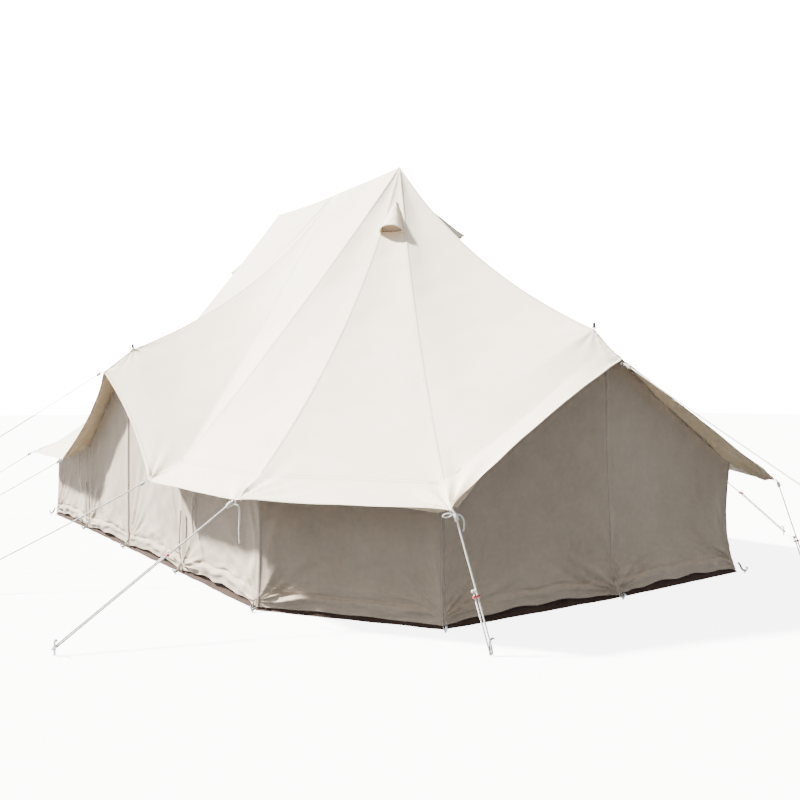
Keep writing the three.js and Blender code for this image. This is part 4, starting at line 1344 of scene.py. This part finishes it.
def up_the_zip(quarter, x, out, step=0.02):
    """A line up the zip at a distance from the middle of the door, and out from its wall."""
    heights = np.arange(ZIP_FOOT, ZIP_HEAD, step)
    line = np.c_[np.full_like(heights, x), np.full_like(heights, DOOR_CORNER[1] + out), heights]
    return in_quarter(line, quarter)


for quarter in QUARTERS:
    start, end = across_fold(quarter, FOLD_HALF)
    across_wall = np.array([QUARTERS[quarter][0] * 1.0, 0, 0])
    tape = ribbon(up_the_zip(quarter, ZIP_TAPE / 2 + 0.001, 0.0016), across_wall, ZIP_TAPE, 0.0012)
    tape_piece = make_piece(f"zip_tape_{quarter}", tape, brown_webbing, body=None, smooth=False)
    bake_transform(tape_piece)
    if quarter.endswith("left"):
        strip = ribbon(up_the_zip(quarter, ZIP_TAPE + 0.015, 0.0030), across_wall, 0.024, 0.0014)
        strip_piece = make_piece(
            f"storm_strip_{quarter}", strip, wall_canvas_painted_shade, body=None, smooth=False
        )
        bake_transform(strip_piece)


def rounded_block(low, high, radius):
    """A block with rounded edges, as points, faces and UVs."""
    work = bmesh.new()
    bmesh.ops.create_cube(work, size=1.0)
    size = np.array(high) - np.array(low)
    centre = (np.array(high) + np.array(low)) / 2
    for vertex in work.verts:
        vertex.co = Vector(centre + np.array(vertex.co) * size)
    bmesh.ops.bevel(work, geom=work.edges[:], offset=radius, segments=3, affect="EDGES", profile=0.5)
    work.verts.index_update()
    points = [tuple(v.co) for v in work.verts]
    faces = [tuple(v.index for v in f.verts) for f in work.faces]
    uvs = [(p[0], p[2]) for face in faces for p in (points[i] for i in face)]
    work.free()
    return points, faces, uvs


for side, quarter in (("front", "front_right"), ("back", "back_right")):
    name = f"zip_slider_{side}"
    low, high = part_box(name)
    sign = QUARTERS[quarter][1]
    face = sign * (DOOR_CORNER[1] + 0.002)
    middle = (low.x + high.x) / 2
    body_low = [low.x, min(face, face + sign * 0.008), high.z - 0.026]
    body_high = [high.x, max(face, face + sign * 0.008), high.z]
    slider_body = rounded_block(body_low, body_high, 0.0025)
    pull_y = face + sign * 0.0065
    pull_low = [middle - 0.0035, min(pull_y, pull_y + sign * 0.0025), low.z]
    pull_high = [middle + 0.0035, max(pull_y, pull_y + sign * 0.0025), high.z - 0.014]
    pull = rounded_block(pull_low, pull_high, 0.0011)
    slider = make_piece(f"zip_slider_and_pull_{side}", merged(slider_body, pull), zip_metal, body=name)
    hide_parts(name)

# ---------- Guy lines ----------
# Every corner and tip of the roof is held by a guy rope. The rope goes through a steel ring at the
# canvas, down through a plastic runner, round a steel peg and back up through the runner to a knot.

# Each guy line: its corner, the plan of its peg, and how far up the rope its runner sits.
GUYS = {
    "shoulder": (SHOULDER_CORNER, (2.550, 2.930), 0.640),
    "end_corner": (END_CORNER, (3.670, 1.320), 0.230),
    "door_corner": (DOOR_CORNER, (0.960, 3.200), 0.300),
}
END_TIP_GUY = ((5.640, 0.0), 0.500)
DOOR_TIP_GUY = ((0.0, 4.060), 0.500)
STRAND_GAP = 0.020  # between the two parts of the rope below the runner
PEG_LOOP_HEIGHT = 0.034
PEG_RADIUS = 0.005
RING_REACH = 0.014
RING_DROP = 0.020  # how far the ring hangs below the tip of the roof over an end
RUNNER_SIZE = (0.046, 0.018, 0.010)  # length, height and thickness
RUNNER_HOLE = 0.0052  # radius of each hole
RUNNER_EDGE = 0.0012  # rounding of its edges
UP = np.array([0, 0, 1.0])


def moulded_red_plastic():
    """Moulded nylon: even red with a soft gloss and a faint moulding texture."""
    material, tree, shader = new_material("moulded_nylon_red")
    space = add_node(tree, "ShaderNodeTexCoord")
    grain = add_node(
        tree, "ShaderNodeTexNoise", {"Vector": space.outputs["Object"], "Scale": 500.0, "Detail": 2.0}
    )
    scuff = add_node(
        tree, "ShaderNodeTexNoise", {"Vector": space.outputs["Object"], "Scale": 60.0, "Detail": 4.0}
    )
    tone = add_node(
        tree, "ShaderNodeMixRGB", {0: scuff.outputs["Fac"], 1: colour("#A3182A"), 2: colour("#C93B46")}
    )
    bump = add_node(
        tree, "ShaderNodeBump", {"Height": grain.outputs["Fac"], "Strength": 0.2, "Distance": 0.0003}
    )
    tree.links.new(tone.outputs[0], shader.inputs["Base Color"])
    tree.links.new(bump.outputs[0], shader.inputs["Normal"])
    shader.inputs["Roughness"].default_value = 0.42
    return material


def zinc_plated_steel():
    """Zinc-plated steel rod: dark grey with rubbed streaks."""
    material, tree, shader = new_material("zinc_plated_steel_rod")
    space = add_node(tree, "ShaderNodeTexCoord")
    streak_place = add_node(
        tree, "ShaderNodeMapping", {"Vector": space.outputs["Object"], "Scale": (220.0, 220.0, 14.0)}
    )
    streaks = add_node(
        tree,
        "ShaderNodeTexNoise",
        {"Vector": streak_place.outputs["Vector"], "Scale": 1.0, "Detail": 4.0},
    )
    tone = add_node(
        tree, "ShaderNodeMixRGB", {0: streaks.outputs["Fac"], 1: colour("#4A5256"), 2: colour("#8B9397")}
    )
    tree.links.new(tone.outputs[0], shader.inputs["Base Color"])
    shader.inputs["Metallic"].default_value = 0.9
    shader.inputs["Roughness"].default_value = 0.42
    return material


red_plastic = moulded_red_plastic()
peg_steel = zinc_plated_steel()


def guy_plan(tip, peg):
    """Where the parts of one guy line are, as directions and points."""
    level = unit(np.array([peg[0] - tip[0], peg[1] - tip[1], 0.0]))
    across = np.array([-level[1], level[0], 0.0])
    ring = tip + level * RING_REACH
    foot = over(peg, PEG_LOOP_HEIGHT)
    return ring, foot, unit(foot - ring), across, level


def overhand_knot(centre, along, side, size):
    """A small pulled-up knot: a trefoil of rope pressed together."""
    t = np.linspace(0, 2 * math.pi, 60, endpoint=False)
    x = np.sin(t) + 2 * np.sin(2 * t)
    y = np.cos(t) - 2 * np.cos(2 * t)
    z = -np.sin(3 * t)
    third = np.cross(along, side)
    scale = size / 3
    route = centre + scale * (np.outer(x, side) + 0.8 * np.outer(y, third) + 1.3 * np.outer(z, along))
    return tube(route, ROPE * 0.46, sides=8, closed=True)


def guy_rope(ring, foot, along, across, level, runner):
    """The rope's shape: a hitch at its ring, a long single part, the runner, the peg and back."""
    half = STRAND_GAP / 2
    reach = (PEG_RADIUS + ROPE / 2 + 0.002) / np.dot(along, level)
    top = ring + across * half
    bend = [
        foot + across * half * math.cos(a) + along * reach * math.sin(a)
        for a in np.linspace(0, math.pi, 9)
    ]
    at_runner = foot + across * half - along * (runner + 0.05)
    share = np.linspace(0, 1, 40)[:-1, None]
    sag = 0.006 * np.linalg.norm(at_runner - top)
    single = top + (at_runner - top) * share - UP * (sag * 4 * share * (1 - share))
    start = ring - level * 0.004 + UP * 0.002
    stopper = foot - across * half - along * (runner + 0.026)
    whole = [start, *single[1:], at_runner, *bend, stopper]
    rope = tube(np.array(whole), ROPE / 2, sides=8)
    turns = np.linspace(0, 4.0, 60)
    hitch_axis = unit(single[2] - single[0])
    side = unit(np.cross(hitch_axis, UP))
    upper = np.cross(side, hitch_axis)
    hitch = (
        top
        + np.outer(0.016 + turns * ROPE * 0.95, hitch_axis)
        + np.outer(np.cos(turns * 2 * math.pi), side) * ROPE * 0.98
        + np.outer(np.sin(turns * 2 * math.pi), upper) * ROPE * 0.98
    )
    wraps = tube(hitch, ROPE * 0.48, sides=8)
    knot = overhand_knot(stopper, along, across, 0.0095)
    return merged(rope, wraps, knot)


def plate_with_holes(length, height, thickness, hole, edge):
    """A flat runner with rounded ends and a hole for each strand, in its own frame."""
    curve = bpy.data.curves.new("runner_outline", "CURVE")
    curve.dimensions = "2D"
    curve.fill_mode = "BOTH"
    curve.extrude = thickness / 2 - edge
    curve.bevel_depth = edge
    curve.bevel_resolution = 2
    corner = height / 2 - edge
    ends = length / 2 - height / 2
    angles = np.linspace(-math.pi / 2, math.pi / 2, 13)
    outline = [(ends + corner * math.cos(a), corner * math.sin(a)) for a in angles]
    outline += [(-ends - corner * math.cos(a), -corner * math.sin(a)) for a in angles]
    loops = [outline]
    turn = np.linspace(0, 2 * math.pi, 21)[:-1]
    rim = hole + edge
    for sign in (-1, 1):
        loops.append([(sign * STRAND_GAP / 2 + rim * math.cos(a), rim * math.sin(a)) for a in turn])
    for loop in loops:
        spline = curve.splines.new("POLY")
        spline.points.add(len(loop) - 1)
        for point, (x, y) in zip(spline.points, loop):
            point.co = (x, y, 0, 1)
        spline.use_cyclic_u = True
    holder = bpy.data.objects.new("runner_outline", curve)
    bpy.context.scene.collection.objects.link(holder)
    bpy.context.view_layer.update()
    mesh = bpy.data.meshes.new_from_object(holder.evaluated_get(bpy.context.evaluated_depsgraph_get()))
    points = np.array([v.co for v in mesh.vertices])
    faces = [tuple(p.vertices) for p in mesh.polygons]
    bpy.data.objects.remove(holder)
    bpy.data.curves.remove(curve)
    bpy.data.meshes.remove(mesh)
    return points, faces


RUNNER_POINTS, RUNNER_FACES = plate_with_holes(*RUNNER_SIZE, RUNNER_HOLE, RUNNER_EDGE)


def guy_runner(foot, along, across, runner):
    """The runner's shape, across its rope, that far up from the peg."""
    normal = np.cross(along, across)
    basis = np.stack([across, normal, along])
    points = foot - along * runner + RUNNER_POINTS @ basis
    uvs = [tuple(RUNNER_POINTS[i][:2]) for face in RUNNER_FACES for i in face]
    return points, RUNNER_FACES, uvs


def hooked_peg(base, across, lean=(0, 0, 0), height=0.056, bend=0.016):
    """The part of a steel rod peg that stands above the ground, with its hook."""
    lean = np.array(lean, float)
    top = base + UP * height + lean
    hook = [
        top + across * bend * (1 - math.cos(a)) + UP * bend * math.sin(a)
        for a in np.linspace(0, math.pi * 0.7, 9)
    ]
    shaft = [base + (top - base) * share for share in np.linspace(0, 1, 5)[:-1]]
    return tube(np.array([*shaft, *hook]), PEG_RADIUS, sides=10)


def steel_ring(centre, normal, radius, thickness):
    """A welded steel ring."""
    side = unit(np.cross(normal, [0.31, 0.17, 0.94]))
    other = np.cross(normal, side)
    t = np.linspace(0, 2 * math.pi, 28, endpoint=False)
    route = centre + np.outer(np.cos(t), side) * radius + np.outer(np.sin(t), other) * radius
    return tube(route, thickness, sides=8, closed=True)


def guy_line(name, tip, peg, runner):
    """One guy line from the roof down: its eye, rope and knots, runner and peg."""
    ring, foot, along, across, level = guy_plan(tip, peg)
    rope_shape = guy_rope(ring, foot, along, across, level, runner)
    rope = make_piece(f"guy_rope_and_knots_{name}", rope_shape, rope_braid)
    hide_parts(f"guy_rope_{name}")
    runner_node, peg_node = f"guy_runner_{name}", f"guy_peg_{name}"
    own_body = runner_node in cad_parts
    runner_piece = make_piece(
        f"rope_runner_{name}",
        guy_runner(foot, along, across, runner),
        red_plastic,
        body=runner_node if own_body else "tent",
    )
    peg_piece = make_piece(f"rope_peg_{name}", hooked_peg(over(peg, 0.0), across), peg_steel)
    if own_body:
        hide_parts(runner_node)
        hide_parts(peg_node)
    eye = steel_ring(tip + level * 0.006 - UP * 0.003, across, 0.011, 0.0018)
    make_piece(f"corner_ring_{name}", eye, steel_tube)


for quarter in QUARTERS:
    for place, (foot, peg, runner) in GUYS.items():
        corner = in_quarter(eave_corner(foot), quarter)
        guy_line(f"{place}_{quarter}", corner, in_quarter(peg, quarter), runner)
for side, sign in (("right", 1), ("left", -1)):
    ring_at = (END_TIP - [0, 0, RING_DROP]) * [sign, 1, 1]
    guy_line(f"end_tip_{side}", ring_at, np.array(END_TIP_GUY[0]) * [sign, 1], END_TIP_GUY[1])
for side, sign in (("front", -1), ("back", 1)):
    peg_at = np.array(DOOR_TIP_GUY[0]) * [1, sign]
    guy_line(f"door_tip_{side}", DOOR_TIP * [1, sign, 1], peg_at, DOOR_TIP_GUY[1])

# ---------- Spike caps and eyelets ----------
# Each A-frame ends in a spike that comes through a brass eyelet in the roof. A black rubber cap is
# pushed on over its tip.

CAP_RADIUS = 0.010
CAP_DROP = 0.030  # how much of the spike the cap covers
EYELET_RADIUS = 0.017
EYELET_RIM = 0.0024


def plain_material(name, shades, roughness, metallic=0.0, scale=30.0):
    """One material that only clouds a little between two shades."""
    material, tree, shader = new_material(name)
    space = add_node(tree, "ShaderNodeTexCoord")
    cloud = add_node(
        tree, "ShaderNodeTexNoise", {"Vector": space.outputs["Object"], "Scale": scale, "Detail": 4.0}
    )
    tone = add_node(
        tree, "ShaderNodeMixRGB", {0: cloud.outputs["Fac"], 1: colour(shades[0]), 2: colour(shades[1])}
    )
    bump = add_node(
        tree, "ShaderNodeBump", {"Height": cloud.outputs["Fac"], "Strength": 0.2, "Distance": 0.001}
    )
    tree.links.new(tone.outputs[0], shader.inputs["Base Color"])
    tree.links.new(bump.outputs[0], shader.inputs["Normal"])
    shader.inputs["Roughness"].default_value = roughness
    shader.inputs["Metallic"].default_value = metallic
    return material


black_rubber = plain_material("moulded_black_rubber", ("#1B1A19", "#2C2A28"), 0.6)
pressed_brass = plain_material("pressed_brass_eyelet", ("#8C7238", "#B0934F"), 0.35, metallic=1.0)


def turned(profile, axis_at, sides=20):
    """A closed round body about an upright line, from pairs of radius and height."""
    points, faces = [], []
    for radius, height in profile:
        for i in range(sides):
            angle = 2 * math.pi * i / sides
            points.append(axis_at + np.array([radius * math.cos(angle), radius * math.sin(angle), height]))
    for ring in range(len(profile) - 1):
        for i in range(sides):
            a, b = ring * sides + i, ring * sides + (i + 1) % sides
            faces.append((a, b, b + sides, a + sides))
    faces.append(tuple(range(sides))[::-1])
    faces.append(tuple(range((len(profile) - 1) * sides, len(profile) * sides)))
    uvs = [(0.0, 0.0)] * sum(len(face) for face in faces)
    return points, faces, uvs


for name, top, peak in (
    ("end_right", END_FRAME_TOP, END_PEAK),
    ("end_left", END_FRAME_TOP * [-1, 1, 1], END_PEAK * [-1, 1, 1]),
    ("door_back", DOOR_FRAME_TOP, DOOR_PEAK),
    ("door_front", DOOR_FRAME_TOP * [1, -1, 1], DOOR_PEAK * [1, -1, 1]),
):
    kind, side = name.split("_")
    tip_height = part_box(f"{kind}_frame_{side}_plain_leg")[1].z
    tip_height = max(tip_height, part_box(f"{kind}_frame_{side}_hinged_leg")[1].z)
    cap_foot = over(top[:2], tip_height - CAP_DROP)
    cap = turned(
        [
            (CAP_RADIUS, 0.0),
            (CAP_RADIUS * 1.08, 0.002),
            (CAP_RADIUS * 1.0, 0.006),
            (CAP_RADIUS * 0.94, CAP_DROP - 0.004),
            (CAP_RADIUS * 0.72, CAP_DROP + 0.001),
            (CAP_RADIUS * 0.30, CAP_DROP + 0.0025),
        ],
        cap_foot,
    )
    make_piece(f"spike_cap_{name}", cap, black_rubber)
    down_roof = unit(peak - top)
    normal = unit(np.cross(np.cross(down_roof, UP), down_roof))
    eyelet = steel_ring(top + normal * 0.003, normal, EYELET_RADIUS, EYELET_RIM)
    make_piece(f"roof_eyelet_{name}", eyelet, pressed_brass)

# ---------- Wall pegs and their loops ----------
# A loop of undyed webbing is sewn under the wall at every corner and at the middle of each end and
# each door, and a steel rod peg through it holds the foot of the wall down and out.

for number, spot in enumerate(PEG_SPOTS):
    out = outward(spot)
    across = np.array([-out[1], out[0], 0.0])
    peg_at = over(spot, 0) + out * 0.045
    loop = [
        over(spot, 0.065) + out * 0.006 - across * 0.004,
        over(spot, 0.048) + out * 0.018 - across * 0.007,
        peg_at - across * 0.010 + UP * 0.020 - out * 0.012,
        peg_at - across * 0.006 + UP * 0.014 + out * 0.008,
        peg_at + UP * 0.012 + out * 0.014,
        peg_at + across * 0.006 + UP * 0.014 + out * 0.008,
        peg_at + across * 0.010 + UP * 0.020 - out * 0.012,
        over(spot, 0.048) + out * 0.018 + across * 0.007,
        over(spot, 0.065) + out * 0.006 + across * 0.004,
    ]
    route = smooth_route(loop, 0.006)
    strap = ribbon(route, UP + 0.25 * out, 0.012, 0.0016)
    make_piece(f"peg_loop_{number}", strap, pale_webbing)
    peg = hooked_peg(peg_at, -out, lean=out * 0.020, height=0.030, bend=0.007)
    make_piece(f"wall_peg_{number}", peg, peg_steel)

# ---------- Roll-up straps ----------
# Narrow brown webbing straps hang from the wall seam beside each door. They tie the wall up when
# it is rolled.

STRAP_WIDTH = 0.020
STRAPS = ((1.40, 0.640, 0.300), (1.170, 0.420, 0.100))  # distance from the door's middle, head, foot

for quarter in QUARTERS:
    for number, (x, head, foot) in enumerate(STRAPS):
        heights = np.linspace(head, foot, 18)
        sway = 0.006 * np.sin(np.linspace(0, 5, 18) + x)
        out = 0.020 + 0.004 * np.sin(np.linspace(0, 3, 18))
        line = in_quarter(np.c_[x + sway, DOOR_CORNER[1] + out, heights], quarter)
        strap = ribbon(line, [1.0, 0, 0], STRAP_WIDTH, 0.0016)
        make_piece(f"roll_up_strap_{quarter}_{number}", strap, brown_webbing)
